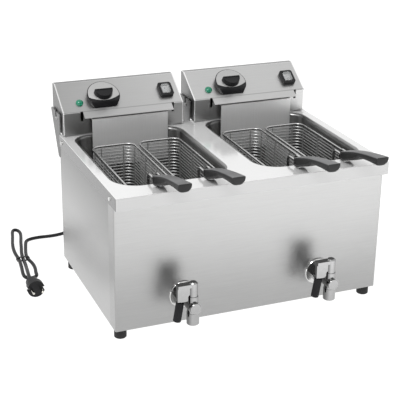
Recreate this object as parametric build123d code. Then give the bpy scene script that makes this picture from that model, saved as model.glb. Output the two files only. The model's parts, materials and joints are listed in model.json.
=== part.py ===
from build123d import *
import math
import os

# A counter-top deep fryer with two tanks, in millimetres.
# While it is drawn, y = 0 is the front face of the deck's skirt, +Y goes to the rear and z = 0 is the
# surface that the feet stand on. Saved pieces are moved so that the origin is under the middle.

# Sheet metal and fits
SHEET = 1.2                 # stainless sheet of body, deck and heads
SEAM = 0.1                  # gap where two fixed pieces meet edge to edge
SLIP = 0.4                  # radial gap of a rod through a plain hole
REST_GAP = 0.3              # gap between a moving piece and its seat
RUN_FIT = 0.05              # radial running fit of stems and pivots
TRAVEL_GAP = 1.0            # gap beside a piece that slides past

# Body
BODY_WIDTH = 580.0          # over the deck's skirt
BODY_DEPTH = 375.3          # front panel to rear panel
BODY_HEIGHT = 287.0         # body's bottom edge to deck top
FRONT_RECESS = 18.7         # front panel behind the deck's skirt
SKIRT_HEIGHT = 26.0
DECK_CORNER = 3.0
PANEL_BEND = 3.0
RETURN_LENGTH = 33.0        # front panel's fold onto each side
FOOT_HEIGHT = 22.0
FOOT_RADIUS = 12.5
FOOT_INSET_X = 16.0         # foot centre from the body's side
FOOT_INSET_Y = 20.0         # foot centre from the front and rear panels

# Tanks
TANK_NARROWER = 40.0        # how much narrower a tank is than the head over it
TANK_FRONT = 54.0           # inner front wall from the skirt
REAR_LEDGE = 28.0           # body's rear behind the tank's rear wall
TANK_FRONT_CORNER = 50.0    # inner radius of the tank's front corners
TANK_REAR_CORNER = 34.0
TANK_FLOOR_BEND = 20.0
LIP_ROUND = 6.0             # rolled lip between deck and tank wall

# Drain pipes and taps
DRAIN_BEHIND = 62.0         # drain hole behind the tank's front wall
DRAIN_DROP = 33.0           # tank's floor over the tap's axis
PIPE_RADIUS = 10.5
PIPE_BORE = 7.5
PIPE_BEND = 24.0
TAP_AXIS_HEIGHT = 81.0
TAP_FLANGE_RADIUS = 28.5
TAP_FLANGE_THICK = 4.0
TAP_NUT_ACROSS = 33.0
TAP_NUT_LENGTH = 12.0
TAP_BODY_RADIUS = 12.6
TAP_STEM_REACH = 54.7       # valve stem in front of the panel
TAP_PLUG_REACH = 16.0       # front plug's face in front of the stem
TAP_PLUG_RADIUS = 11.3
TAP_PLUG_THICK = 3.0
OUTLET_RADIUS = 12.4
OUTLET_BORE = 8.5
OUTLET_DROP = 38.0          # outlet's end under the tap's axis
OUTLET_SLEEVE = 25.0        # length of the spout that a hose goes over
OUTLET_STEP = 0.6           # the neck above the spout is this much slimmer
BONNET_RADIUS = 10.0
BONNET_RISE = 22.0          # bonnet's top over the tap's axis
BALL_RADIUS = 9.6
BALL_PORT = 5.0
STEM_RADIUS = 4.0
HUB_RADIUS = 9.0
HUB_HEIGHT = 30.0
HUB_CHAMFER = 2.5
ARM_REACH = 20.5            # lever rod beside the stem
ARM_HEIGHT = 7.0
ARM_WIDTH = 15.0
PLATE_OVER = 12.5           # lever plate's outer edge past the rod's top
PLATE_DROP = 36.0           # lever plate's lower edge under the arm's top
PLATE_THICK = 8.0
PLATE_CLEAR = 1.5           # between the lever plate and the bonnet
LEVER_LEAN = 9.0            # degrees that the lever hangs outwards
LEVER_ROD = 3.6
GRIP_RADIUS = 8.0
GRIP_LENGTH = 40.0
GRIP_DROP = 40.5            # grip's top under the arm's top, along the rod

# Control heads
HEAD_MARGIN = 5.0           # head's cheek inside the deck's side
HEAD_SPACING = 26.0         # between the two heads
HEAD_OVER_BODY = 22.4       # head's upright front in front of the body's rear
HEAD_LIFT = 3.0             # head's underside over the deck
HEAD_FRONT_HEIGHT = 48.2
SLOPE_ANGLE = 34.1
SLOPE_LENGTH = 84.5
HEAD_TOP_DEPTH = 13.7
HEAD_BEND = 2.5
HEAD_EDGE = 1.0             # rounding of the cheeks' edges
VISOR_LENGTH = 17.6         # slope carried on past the front fold
VISOR_WIDTH = 201.0
NOTCH_WIDTH = 5.5           # relief cut in the head's front beside the visor
NOTCH_HEIGHT = 19.0
TRIM_OFFSET = 9.0           # visor, guard and baskets sit this far right of the tank's middle
GUARD_WIDTH = 171.0
GUARD_BEFORE_HEAD = 13.6    # guard's front face in front of the head
GUARD_TOP = 37.5            # guard's fold over the deck
GUARD_DROP = 70.0           # guard's lower edge under the deck
GUARD_TAB = 6.0             # flange up the head's front
ROD_EXIT_HEIGHT = 25.0      # element rods leave the head this far over the deck

# Controls, placed from the head's middle and up the slope from its fold
KNOB_PLACE = (-40.0, 33.3)
KNOB_RADIUS = 36.5
KNOB_FACET_TOP = 18.0       # slanted facet from the knob's middle, at its face
KNOB_FACET_FOOT = 26.0      # and at its foot
KNOB_THICK = 12.0
KNOB_FLOAT = 0.8            # knob over the panel
KNOB_GRIP_RADIUS = 21.0
KNOB_GRIP_UP = 5.0          # grip's round above the knob's middle
KNOB_GRIP_BACK = 6.5        # grip's straight side above the knob's middle
KNOB_GRIP_HEIGHT = 12.0
KNOB_SHAFT = 3.0
KNOB_SHAFT_DEPTH = 16.0
LAMP_PLACE = (-94.0, 25.3)
LAMP_RADIUS = 8.0
LAMP_DOME = 5.0
LAMP_STEM = 5.5
LAMP_STEM_LENGTH = 18.0
SWITCH_PLACE = (104.0, 36.0)
SWITCH_WIDTH = 31.0
SWITCH_HEIGHT = 36.0
SWITCH_RAISE = 8.0
SWITCH_RIM = 5.5
SWITCH_BODY_DEPTH = 26.0
ROCKER_WELL = 9.0           # well's floor under the panel
ROCKER_TILT = 9.0           # degrees either way
ROCKER_THICK = 7.0
ROCKER_PIVOT_DEPTH = 2.0
ROCKER_PIN = 1.5
COVER_WALL = 0.8
COVER_RAISE = 5.0           # clear cover over the switch frame
THERMOSTAT_SIZE = (42.0, 40.0, 30.0)
BULB_RADIUS = 3.2
BULB_LENGTH = 75.0
CAPILLARY_RADIUS = 1.2
CAPILLARY_BEND = 7.0

# Heating elements
ROD_RADIUS = 3.25
ROD_BEND = 12.0
ROD_TOP_BEND = 8.0
ROD_SPREADS = (60.0, 25.0)  # half distance between the legs of each hairpin
ROD_FRONT_BEND = 22.0
ROD_FRONT_GAPS = (22.0, 40.0)   # hairpin ends behind the tank's front wall
ROD_INSIDE = 16.0           # rod's end behind the head's front

# Head brackets and pins
BRACKET_THICK = 2.0
BRACKET_GAP = 2.4           # between bracket and head
BRACKET_DROP = 52.0         # bracket's lower end under the deck
BRACKET_TOP = 46.0          # bracket's top over the deck
BRACKET_LEAN = 51.0         # how far the rear edge runs back on its way up
BRACKET_FOOT = 10.5         # bracket's depth at its lower end
BRACKET_FORE = 5.0          # bracket's front edge in front of the body's rear
FLANGE_WIDTH = 20.0
PIN_RADIUS = 4.0
PIN_BEHIND = 22.0           # hook pins behind the body's rear
PIN_HEIGHT = 30.0           # hook pins over the deck
PIN_PROUD = 1.5             # pin past the bracket

# Screws
SCREW_RADIUS = 2.0
SCREW_HEAD = 4.2
SCREW_HEAD_HEIGHT = 2.2
SKIRT_SCREW_ENDS = (36.0, 22.0)  # skirt screws from the deck's front and rear

# Baskets
BASKET_SIDE_ROOM = 15.0     # from a basket to the tank's wall, with the pair in the middle
BASKET_GAP = 6.0            # between the two baskets of a tank
BASKET_FRONT = 22.0         # rim behind the tank's front wall
BASKET_REAR_ROOM = 35.0     # rim in front of the tank's rear wall
RIM_BELOW_DECK = 15.0
BASKET_DEPTH = 118.0        # rim's middle to the basket's underside
RIM_WIRE = 2.5
RIM_CORNER = 20.0
NET_WIRE = 2.2
NET_ROW = 7.6               # wire spacing up the walls
NET_COLUMN = 42.0           # spacing of the upright wires
NET_FLOOR_ROW = 9.0
STAY_WIRE = 2.5
STAY_SPREAD = 8.0           # half distance between the two bracket wires
STAY_FOOT = 60.0            # bracket wire's lower end under the rim
STAY_BEND = 9.0
HANDLE_WIDTH = 25.0
HANDLE_ROOT = 33.0          # top of the handle's rear face from the skirt
HANDLE_RAKE = 4.0           # foot of the rear face in front of its top
HANDLE_REACH = 101.0        # handle's tip in front of the skirt
HANDLE_CLEAR = 3.5          # root block over the deck
HANDLE_ROOT_TOP = 22.0
HANDLE_CHIN = (-18.0, 21.0)     # lower front corner of the root block
HANDLE_NECK = (-30.0, 41.0)
HANDLE_NECK_THICK = 10.5
HANDLE_TIP_TOP = 53.5
HANDLE_TIP_THICK = 15.5
HANDLE_TIP_ROUND = 9.0
STAY_DEPTH_IN_HANDLE = 16.0

# Cord, gland and plug
CORD_RADIUS = 4.0
CORD_LIE = 5.2              # cord's middle over the floor
GLAND_OFFSET = -56.0        # gland from the head's middle
GLAND_HEIGHT = 30.0         # gland over the deck
GLAND_NUT = 10.0
GLAND_NUT_LENGTH = 7.0
GLAND_NOSE = 7.0
GLAND_NOSE_LENGTH = 6.0
GLAND_TAIL = 5.2            # end radius of the tapered strain relief
GLAND_TAIL_LENGTH = 22.0
PLUG_RADIUS = 18.5
PLUG_FACE = 14.0
PLUG_GRIP = 13.5
PLUG_GRIP_LENGTH = 24.0
PLUG_NECK = 5.2             # end radius of the tapered neck
PLUG_NECK_LENGTH = 10.0
PLUG_NOTCH = 4.0
PLUG_PIN_RADIUS = 2.4
PLUG_PIN_LENGTH = 19.0
PLUG_PIN_PITCH = 19.0
TIE_WIDTH = 6.0
TIE_THICK = 0.8
TIE_CLEAR = 0.3
TIE_SIDE = 1.6

# Sizes that follow
DECK_TOP = FOOT_HEIGHT + BODY_HEIGHT
BODY_REAR = FRONT_RECESS + BODY_DEPTH
DECK_REAR = BODY_REAR + SHEET
SIDE_X = BODY_WIDTH / 2 - SHEET - SEAM          # outer face of the side panels
HEAD_WIDTH = (BODY_WIDTH - HEAD_SPACING) / 2 - HEAD_MARGIN
HEAD_FRONT = BODY_REAR - HEAD_OVER_BODY
TANK_PITCH = HEAD_WIDTH + HEAD_SPACING          # between the two tanks' middles
TANK_WIDTH = HEAD_WIDTH - TANK_NARROWER
TANK_REAR = BODY_REAR - REAR_LEDGE
TANK_LENGTH = TANK_REAR - TANK_FRONT
TANK_FLOOR = TAP_AXIS_HEIGHT + DRAIN_DROP
SLOPE_RUN = SLOPE_LENGTH * math.cos(math.radians(SLOPE_ANGLE))
SLOPE_RISE = SLOPE_LENGTH * math.sin(math.radians(SLOPE_ANGLE))
HEAD_BOTTOM = DECK_TOP + HEAD_LIFT
FOLD_Z = HEAD_BOTTOM + HEAD_FRONT_HEIGHT
HEAD_TOP = FOLD_Z + SLOPE_RISE
HEAD_REAR = HEAD_FRONT + SLOPE_RUN + HEAD_TOP_DEPTH
BRACKET_REAR = BODY_REAR + BRACKET_FOOT + BRACKET_LEAN
RIM_Z = DECK_TOP - RIM_BELOW_DECK
BASKET_BOTTOM = RIM_Z - BASKET_DEPTH
BASKET_FRONT_Y = TANK_FRONT + BASKET_FRONT
BASKET_WIDTH = (TANK_WIDTH - BASKET_GAP) / 2 - BASKET_SIDE_ROOM     # over the rim wire
BASKET_LENGTH = TANK_LENGTH - BASKET_FRONT - BASKET_REAR_ROOM
ROD_Z = BASKET_BOTTOM - REST_GAP - ROD_RADIUS
GUARD_FACE = HEAD_FRONT - GUARD_BEFORE_HEAD
RISER_Y = (GUARD_FACE + SHEET + TANK_REAR) / 2
STEM_Y = FRONT_RECESS - TAP_STEM_REACH
GLAND_END = HEAD_REAR + GLAND_NUT_LENGTH + GLAND_NOSE_LENGTH + GLAND_TAIL_LENGTH
CORD_END_Y = GLAND_END + REST_GAP
ORIGIN_Y = (GLAND_END - HANDLE_REACH) / 2       # middle of the length, handle tips to gland ends
SIDES = {"left": -1, "right": 1}
TANK_X = {side: sign * TANK_PITCH / 2 for side, sign in SIDES.items()}


def save(name, *solids):
    """Write one node, moved so that the origin lies under the object's middle."""
    moved = [Pos(0, -ORIGIN_Y, 0) * solid for solid in solids]
    export_step(moved[0] if len(moved) == 1 else Compound(children=moved), f"parts/{name}.step")


def block(x_span, y_span, z_span):
    """A box given by its lower and upper limits."""
    size = [high - low for low, high in (x_span, y_span, z_span)]
    middle = [(high + low) / 2 for low, high in (x_span, y_span, z_span)]
    return Pos(*middle) * Box(*size)


def upright(x, y, z_span, radius):
    """A cylinder along Z."""
    return Pos(x, y, sum(z_span) / 2) * Cylinder(radius, z_span[1] - z_span[0])


def along_y(x, z, y_span, radius):
    """A cylinder along Y."""
    return Pos(x, sum(y_span) / 2, z) * Rot(90, 0, 0) * Cylinder(radius, y_span[1] - y_span[0])


def along_x(y, z, x_span, radius):
    """A cylinder along X."""
    return Pos(sum(x_span) / 2, y, z) * Rot(0, 90, 0) * Cylinder(radius, x_span[1] - x_span[0])


def rounded_prism(x_span, y_span, z_span, radius):
    """An upright prism on a rectangle with rounded corners."""
    outline = RectangleRounded(x_span[1] - x_span[0], y_span[1] - y_span[0], radius)
    return Pos(sum(x_span) / 2, sum(y_span) / 2, z_span[0]) * extrude(outline, z_span[1] - z_span[0])


def side_profile(points, x_span):
    """A prism along X whose outline is given as (y, z) points."""
    outline = make_face(Polyline(*[(y, z) for y, z in points], close=True))
    return Plane.YZ.offset(x_span[0]) * extrude(outline, x_span[1] - x_span[0])


def tube(points, radii, radius):
    """A round rod along straight runs joined by tangent arcs."""
    path = FilletPolyline(*points, radius=radii)
    section = Plane(origin=path @ 0, z_dir=path % 0) * Circle(radius)
    return sweep(section, path=path)


def slope_plane(head_x):
    """The control panel's face: X across, Y up the slope, Z outwards, from the middle of its fold."""
    tilt = math.radians(SLOPE_ANGLE)
    normal = (0, -math.sin(tilt), math.cos(tilt))
    return Plane(origin=(head_x, HEAD_FRONT, FOLD_Z), x_dir=(1, 0, 0), z_dir=normal)


# Body: deck, panels, base and feet

def deck_top():
    """Pressed deck with a skirt all round and one opening per tank."""
    half = BODY_WIDTH / 2
    outer = rounded_prism((-half, half), (0, DECK_REAR), (DECK_TOP - SKIRT_HEIGHT, DECK_TOP), DECK_CORNER)
    outer = fillet(outer.faces().sort_by(Axis.Z)[-1].edges(), DECK_CORNER / 2)
    deck = outer - block((-half + SHEET, half - SHEET), (SHEET, DECK_REAR - SHEET),
                         (DECK_TOP - SKIRT_HEIGHT, DECK_TOP - SHEET))
    for x in TANK_X.values():
        deck -= tank_prism(x, LIP_ROUND + SEAM, (DECK_TOP - SKIRT_HEIGHT, DECK_TOP + SHEET))
    for x, y, sign in skirt_screw_places():
        deck -= along_x(y, skirt_screw_height(), (x - 2 * SHEET, x + 2 * SHEET), SCREW_RADIUS + SEAM)
    return deck


def front_panel():
    """Front sheet with a rounded fold onto both sides, and holes for the drain pipes."""
    span = (FRONT_RECESS, FRONT_RECESS + RETURN_LENGTH)
    heights = (FOOT_HEIGHT, DECK_TOP - SHEET - SEAM)
    outer = rounded_prism((-SIDE_X, SIDE_X), (span[0], span[1] + PANEL_BEND), heights, PANEL_BEND)
    inner = rounded_prism((-SIDE_X + SHEET, SIDE_X - SHEET), (span[0] + SHEET, span[1] + 2 * PANEL_BEND),
                          heights, PANEL_BEND - SHEET)
    panel = outer - inner
    panel -= block((-SIDE_X - SHEET, SIDE_X + SHEET), (span[1], span[1] + 2 * PANEL_BEND), heights)
    for x in TANK_X.values():
        panel -= along_y(x, TAP_AXIS_HEIGHT, (span[0] - SHEET, span[0] + 2 * SHEET), PIPE_RADIUS + SEAM)
    for x, y, sign in skirt_screw_places():
        panel -= along_x(y, skirt_screw_height(), (x - 4 * SHEET, x + 4 * SHEET), SCREW_RADIUS + SEAM)
    return panel


def side_panels():
    """Two flat side sheets that butt against the front panel's folds."""
    sheets = []
    for sign in SIDES.values():
        x_span = sorted((sign * SIDE_X, sign * (SIDE_X - SHEET)))
        y_span = (FRONT_RECESS + RETURN_LENGTH + SEAM, BODY_REAR - SHEET - SEAM)
        sheet = block(x_span, y_span, (FOOT_HEIGHT, DECK_TOP - SHEET - SEAM))
        for x, y, screw_sign in skirt_screw_places():
            sheet -= along_x(y, skirt_screw_height(), (x - 4 * SHEET, x + 4 * SHEET), SCREW_RADIUS + SEAM)
        sheets.append(sheet)
    return sheets


def rear_panel():
    """Flat rear sheet with the screw holes of the head brackets."""
    panel = block((-SIDE_X, SIDE_X), (BODY_REAR - SHEET, BODY_REAR - SEAM),
                  (FOOT_HEIGHT, DECK_TOP - SHEET - SEAM))
    for x, z in bracket_screw_places():
        panel -= along_y(x, z, (BODY_REAR - 2 * SHEET, BODY_REAR + SHEET), SCREW_RADIUS + SEAM)
    return panel


def base_plate():
    """Sheet that closes the body underneath and carries the feet."""
    side = SIDE_X - SHEET - SEAM
    y_span = (FRONT_RECESS + SHEET + SEAM, BODY_REAR - SHEET - SEAM)
    return rounded_prism((-side, side), y_span, (FOOT_HEIGHT, FOOT_HEIGHT + SHEET), PANEL_BEND)


def feet():
    """Four rubber feet, a little narrower at the floor."""
    pads = []
    for x in (-SIDE_X + FOOT_INSET_X, SIDE_X - FOOT_INSET_X):
        for y in (FRONT_RECESS + FOOT_INSET_Y, BODY_REAR - FOOT_INSET_Y):
            pad = upright(x, y, (0, FOOT_HEIGHT), FOOT_RADIUS)
            pads.append(chamfer(pad.edges().sort_by(Axis.Z)[0], FOOT_RADIUS / 10))
    return pads


def tank_prism(x, grow, z_span):
    """The tank's inner space, grown sideways by a given amount; its front corners are rounder."""
    outline = Rectangle(TANK_WIDTH + 2 * grow, TANK_LENGTH + 2 * grow)
    rows = outline.vertices().group_by(Axis.Y)
    outline = fillet(rows[0], TANK_FRONT_CORNER + grow)
    outline = fillet(outline.vertices().sort_by(Axis.Y)[-2:], TANK_REAR_CORNER + grow)
    return Pos(x, TANK_FRONT + TANK_LENGTH / 2, z_span[0]) * extrude(outline, z_span[1] - z_span[0])


def tank(x):
    """Deep-drawn tank with a rolled lip level with the deck and a drain hole in its floor."""
    outer = tank_prism(x, SHEET, (TANK_FLOOR - SHEET, DECK_TOP))
    outer = fillet(outer.faces().sort_by(Axis.Z)[0].edges(), TANK_FLOOR_BEND + SHEET)
    inner = tank_prism(x, 0, (TANK_FLOOR, DECK_TOP))
    inner = fillet(inner.faces().sort_by(Axis.Z)[0].edges(), TANK_FLOOR_BEND)
    lip = tank_prism(x, LIP_ROUND, (DECK_TOP - LIP_ROUND, DECK_TOP))
    lip -= tank_prism(x, 0, (DECK_TOP - LIP_ROUND, DECK_TOP))
    inner_edge = lip.faces().sort_by(Axis.Z)[-1].inner_wires()[0].edges()
    lip = fillet(inner_edge, LIP_ROUND - SHEET / 2)
    pan = (outer - inner - tank_prism(x, LIP_ROUND, (DECK_TOP - LIP_ROUND, DECK_TOP))) + lip
    drain = upright(x, TANK_FRONT + DRAIN_BEHIND, (TANK_FLOOR - 2 * SHEET, TANK_FLOOR + SHEET), PIPE_BORE)
    return pan - drain


# Drain pipes and taps

def drain_pipe(x):
    """Bent pipe from the tank's floor forward to the tap."""
    y = TANK_FRONT + DRAIN_BEHIND
    route = [(x, y, TANK_FLOOR - SHEET), (x, y, TAP_AXIS_HEIGHT),
             (x, FRONT_RECESS - TAP_FLANGE_THICK, TAP_AXIS_HEIGHT)]
    return tube(route, PIPE_BEND, PIPE_RADIUS) - tube(route, PIPE_BEND, PIPE_BORE)


def tap_flange(x):
    """Round wall flange that covers the pipe's hole in the front panel."""
    face = FRONT_RECESS - TAP_FLANGE_THICK
    disc = along_y(x, TAP_AXIS_HEIGHT, (face, FRONT_RECESS), TAP_FLANGE_RADIUS)
    disc = chamfer(disc.edges().sort_by(Axis.Y)[0], TAP_FLANGE_THICK / 3)
    return disc - along_y(x, TAP_AXIS_HEIGHT, (face - 1, FRONT_RECESS + 1), PIPE_RADIUS + SEAM)


def tap_body(x):
    """Angle valve body: nut, barrel with front plug, outlet spout below and bonnet above."""
    z = TAP_AXIS_HEIGHT
    tail = FRONT_RECESS - TAP_FLANGE_THICK
    barrel_front = STEM_Y - TAP_PLUG_REACH + TAP_PLUG_THICK
    nut_outline = RegularPolygon(TAP_NUT_ACROSS / 2, 6, major_radius=False)
    nut = Pos(x, tail, z) * Rot(90, 0, 0) * extrude(nut_outline, TAP_NUT_LENGTH)
    body = nut + along_y(x, z, (barrel_front, tail), TAP_BODY_RADIUS)
    plug = along_y(x, z, (STEM_Y - TAP_PLUG_REACH, STEM_Y), TAP_PLUG_RADIUS)
    body += chamfer(plug.edges().sort_by(Axis.Y)[0], TAP_PLUG_THICK / 4)
    outlet_end = z - OUTLET_DROP
    outlet = upright(x, STEM_Y, (outlet_end, outlet_end + OUTLET_SLEEVE), OUTLET_RADIUS)
    body += chamfer(outlet.edges().sort_by(Axis.Z)[0], OUTLET_RADIUS / 8)
    body += upright(x, STEM_Y, (outlet_end + OUTLET_SLEEVE / 2, z), OUTLET_RADIUS - OUTLET_STEP)
    body += upright(x, STEM_Y, (z, z + BONNET_RISE), BONNET_RADIUS)
    body -= Pos(x, STEM_Y, z) * Sphere(BALL_RADIUS + RUN_FIT)
    body -= along_y(x, z, (STEM_Y, tail + 1), PIPE_BORE)
    body -= upright(x, STEM_Y, (z - OUTLET_DROP - 1, z), OUTLET_BORE)
    return body - upright(x, STEM_Y, (z, z + BONNET_RISE + 1), STEM_RADIUS + RUN_FIT)


def tap_ball(x):
    """Valve ball with its stem; the port runs from its side to its underside."""
    z = TAP_AXIS_HEIGHT
    ball = Pos(x, STEM_Y, z) * Sphere(BALL_RADIUS)
    ball += upright(x, STEM_Y, (z, z + BONNET_RISE + HUB_HEIGHT - HUB_CHAMFER), STEM_RADIUS)
    ball -= upright(x, STEM_Y, (z - 2 * BALL_RADIUS, z), BALL_PORT)
    return ball - along_x(STEM_Y, z, (x, x + 2 * BALL_RADIUS), BALL_PORT)


def lever_plane(x):
    """Where the lever's rod starts: Z runs down the rod."""
    lean = math.radians(LEVER_LEAN)
    top = TAP_AXIS_HEIGHT + BONNET_RISE + HUB_HEIGHT
    return Plane(origin=(x - ARM_REACH, STEM_Y, top), x_dir=(0, 1, 0),
                 z_dir=(-math.sin(lean), 0, -math.cos(lean)))


def tap_lever(x):
    """Chromed lever: hub on the stem, arm with a broad plate down from it, and a rod into the grip."""
    bonnet_top = TAP_AXIS_HEIGHT + BONNET_RISE
    low = bonnet_top + REST_GAP
    high = bonnet_top + HUB_HEIGHT
    arm_top = high - HUB_CHAMFER
    hub = upright(x, STEM_Y, (low, high), HUB_RADIUS)
    hub = chamfer(hub.edges().sort_by(Axis.Z)[-1], HUB_CHAMFER)
    outer = x - ARM_REACH - PLATE_OVER
    arm = block((outer, x), (STEM_Y - ARM_WIDTH / 2, STEM_Y + ARM_WIDTH / 2), (arm_top - ARM_HEIGHT, arm_top))
    inner = x - BONNET_RADIUS - PLATE_CLEAR
    knee = bonnet_top + PLATE_CLEAR
    foot = arm_top - PLATE_DROP
    outline = Polyline((outer, foot), (outer, arm_top), (x, arm_top), (x, knee + x - inner), (inner, knee),
                       (inner, foot), close=True)
    face = Plane(origin=(0, STEM_Y + PLATE_THICK / 2, 0), x_dir=(1, 0, 0), z_dir=(0, -1, 0))
    plate = face * extrude(make_face(outline), PLATE_THICK)
    rod_length = GRIP_DROP + GRIP_LENGTH - GRIP_RADIUS
    rod = lever_plane(x) * Pos(0, 0, ARM_HEIGHT / 2 + rod_length / 2) * Cylinder(
        LEVER_ROD, rod_length - ARM_HEIGHT)
    lever = hub + arm + plate + rod
    return lever - upright(x, STEM_Y, (low - 1, arm_top + SEAM), STEM_RADIUS + SEAM / 2)


def tap_grip(x):
    """Black sleeve pushed onto the lever's rod."""
    sleeve = Pos(0, 0, GRIP_DROP + GRIP_LENGTH / 2) * Cylinder(GRIP_RADIUS, GRIP_LENGTH)
    sleeve = fillet(sleeve.edges().sort_by(Axis.Z)[-1], GRIP_RADIUS / 4)
    sleeve -= Pos(0, 0, GRIP_DROP + (GRIP_LENGTH - GRIP_RADIUS) / 2) * Cylinder(
        LEVER_ROD + SEAM / 2, GRIP_LENGTH - GRIP_RADIUS + SEAM)
    return lever_plane(x) * sleeve


# Control heads

def head_outline():
    """The head's side outline as (y, z) points, from the front's foot over the top to the rear's foot."""
    return [(HEAD_FRONT, HEAD_BOTTOM), (HEAD_FRONT, FOLD_Z), (HEAD_FRONT + SLOPE_RUN, HEAD_TOP),
            (HEAD_REAR, HEAD_TOP), (HEAD_REAR, HEAD_BOTTOM)]


def head_inside():
    """The same outline one sheet thickness further in, open at the foot and the rear."""
    half_turn = math.tan(math.radians((90 - SLOPE_ANGLE) / 2))
    top_turn = math.tan(math.radians(SLOPE_ANGLE / 2))
    front = HEAD_FRONT + SHEET
    return [(front, HEAD_BOTTOM - SHEET), (front, FOLD_Z - SHEET * half_turn),
            (HEAD_FRONT + SLOPE_RUN + SHEET * top_turn, HEAD_TOP - SHEET),
            (HEAD_REAR + SHEET, HEAD_TOP - SHEET), (HEAD_REAR + SHEET, HEAD_BOTTOM - SHEET)]


def rod_places(x):
    """Where the element's rods and the capillary pass the head's front, with their radii."""
    middle = x + TRIM_OFFSET
    places = [(middle, CAPILLARY_RADIUS)]
    for spread in ROD_SPREADS:
        places += [(middle - spread, ROD_RADIUS), (middle + spread, ROD_RADIUS)]
    return places


def head_shell(x):
    """Folded head: front with a relief cut at each end of the visor, control slope, top and both cheeks."""
    half = HEAD_WIDTH / 2
    shell = side_profile(head_outline(), (x - half, x + half))
    bends = [edge for edge in shell.edges().filter_by(Axis.X) if edge.center().Z > HEAD_BOTTOM + SHEET]
    shell = fillet(bends, HEAD_BEND)
    cheek_edges = [edge for face in shell.faces().filter_by(Axis.X) for edge in face.edges()]
    shell = fillet([edge for edge in cheek_edges if edge.center().Z > HEAD_BOTTOM + SHEET], HEAD_EDGE)
    shell -= side_profile(head_inside(), (x - half + SHEET, x + half - SHEET))
    face = slope_plane(x)
    visor_x = TRIM_OFFSET - 1
    visor = block((visor_x - VISOR_WIDTH / 2, visor_x + VISOR_WIDTH / 2), (-VISOR_LENGTH, HEAD_BEND),
                  (-SHEET, 0))
    shell += face * visor
    for sign in (-1, 1):
        notch_x = x + visor_x + sign * (VISOR_WIDTH + NOTCH_WIDTH) / 2
        shell -= block((notch_x - NOTCH_WIDTH / 2, notch_x + NOTCH_WIDTH / 2),
                       (HEAD_FRONT - 1, HEAD_FRONT + 2 * SHEET), (FOLD_Z - NOTCH_HEIGHT, FOLD_Z + SHEET))
    knob_hole = Pos(*KNOB_PLACE, 0) * Cylinder(KNOB_SHAFT + SLIP, 4 * SHEET)
    lamp_hole = Pos(*LAMP_PLACE, 0) * Cylinder(LAMP_STEM + SEAM, 4 * SHEET)
    switch_hole = Pos(*SWITCH_PLACE, 0) * Box(SWITCH_WIDTH - SWITCH_RIM + SEAM,
                                              SWITCH_HEIGHT - SWITCH_RIM + SEAM, 4 * SHEET)
    for hole in (knob_hole, lamp_hole, switch_hole):
        shell -= face * hole
    for rod_x, radius in rod_places(x):
        shell -= along_y(rod_x, DECK_TOP + ROD_EXIT_HEIGHT, (HEAD_FRONT - 1, HEAD_FRONT + 2 * SHEET),
                         radius + SLIP)
    return shell


def head_back(x):
    """Back cover: rear and floor of the head in one fold, with the two hook pins."""
    half = HEAD_WIDTH / 2 - SHEET - SEAM
    top = HEAD_TOP - SHEET - SEAM
    floor = block((x - half, x + half), (HEAD_FRONT + SHEET + SEAM, HEAD_REAR),
                  (HEAD_BOTTOM, HEAD_BOTTOM + SHEET))
    cover = floor + block((x - half, x + half), (HEAD_REAR - SHEET, HEAD_REAR), (HEAD_BOTTOM, top))
    cover -= along_y(x + GLAND_OFFSET, DECK_TOP + GLAND_HEIGHT, (HEAD_REAR - 2 * SHEET, HEAD_REAR + SHEET),
                     CORD_RADIUS + SLIP)
    return cover


def hook_pins(x):
    """Two pins welded to the head's cheeks; they hang in the brackets' slots."""
    half = HEAD_WIDTH / 2
    length = BRACKET_GAP + BRACKET_THICK + PIN_PROUD
    y = BODY_REAR + PIN_BEHIND
    z = DECK_TOP + PIN_HEIGHT
    return [along_x(y, z, (x - half - length, x - half), PIN_RADIUS),
            along_x(y, z, (x + half, x + half + length), PIN_RADIUS)]


def guard_plate(x):
    """Sheet that hangs under the visor in front of the element's rods."""
    middle = x + TRIM_OFFSET
    x_span = (middle - GUARD_WIDTH / 2, middle + GUARD_WIDTH / 2)
    fold = DECK_TOP + GUARD_TOP
    plate = block(x_span, (GUARD_FACE, GUARD_FACE + SHEET), (DECK_TOP - GUARD_DROP, fold))
    plate += block(x_span, (GUARD_FACE, HEAD_FRONT), (fold - SHEET, fold))
    return plate + block(x_span, (HEAD_FRONT - SHEET, HEAD_FRONT), (fold - SHEET, fold + GUARD_TAB))


def heating_element(x):
    """Two hairpin rods, one inside the other, that come down behind the guard and lie under the baskets."""
    middle = x + TRIM_OFFSET
    exit_z = DECK_TOP + ROD_EXIT_HEIGHT
    rods = []
    for spread, gap in zip(ROD_SPREADS, ROD_FRONT_GAPS):
        front = TANK_FRONT + gap
        leg = [(HEAD_FRONT + ROD_INSIDE, exit_z), (RISER_Y, exit_z), (RISER_Y, ROD_Z), (front, ROD_Z)]
        route = [(middle - spread, y, z) for y, z in leg]
        route += [(middle + spread, y, z) for y, z in reversed(leg)]
        half_bends = [ROD_TOP_BEND, ROD_BEND, ROD_FRONT_BEND]
        rods.append(tube(route, half_bends + half_bends[::-1], ROD_RADIUS))
    return rods


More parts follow.
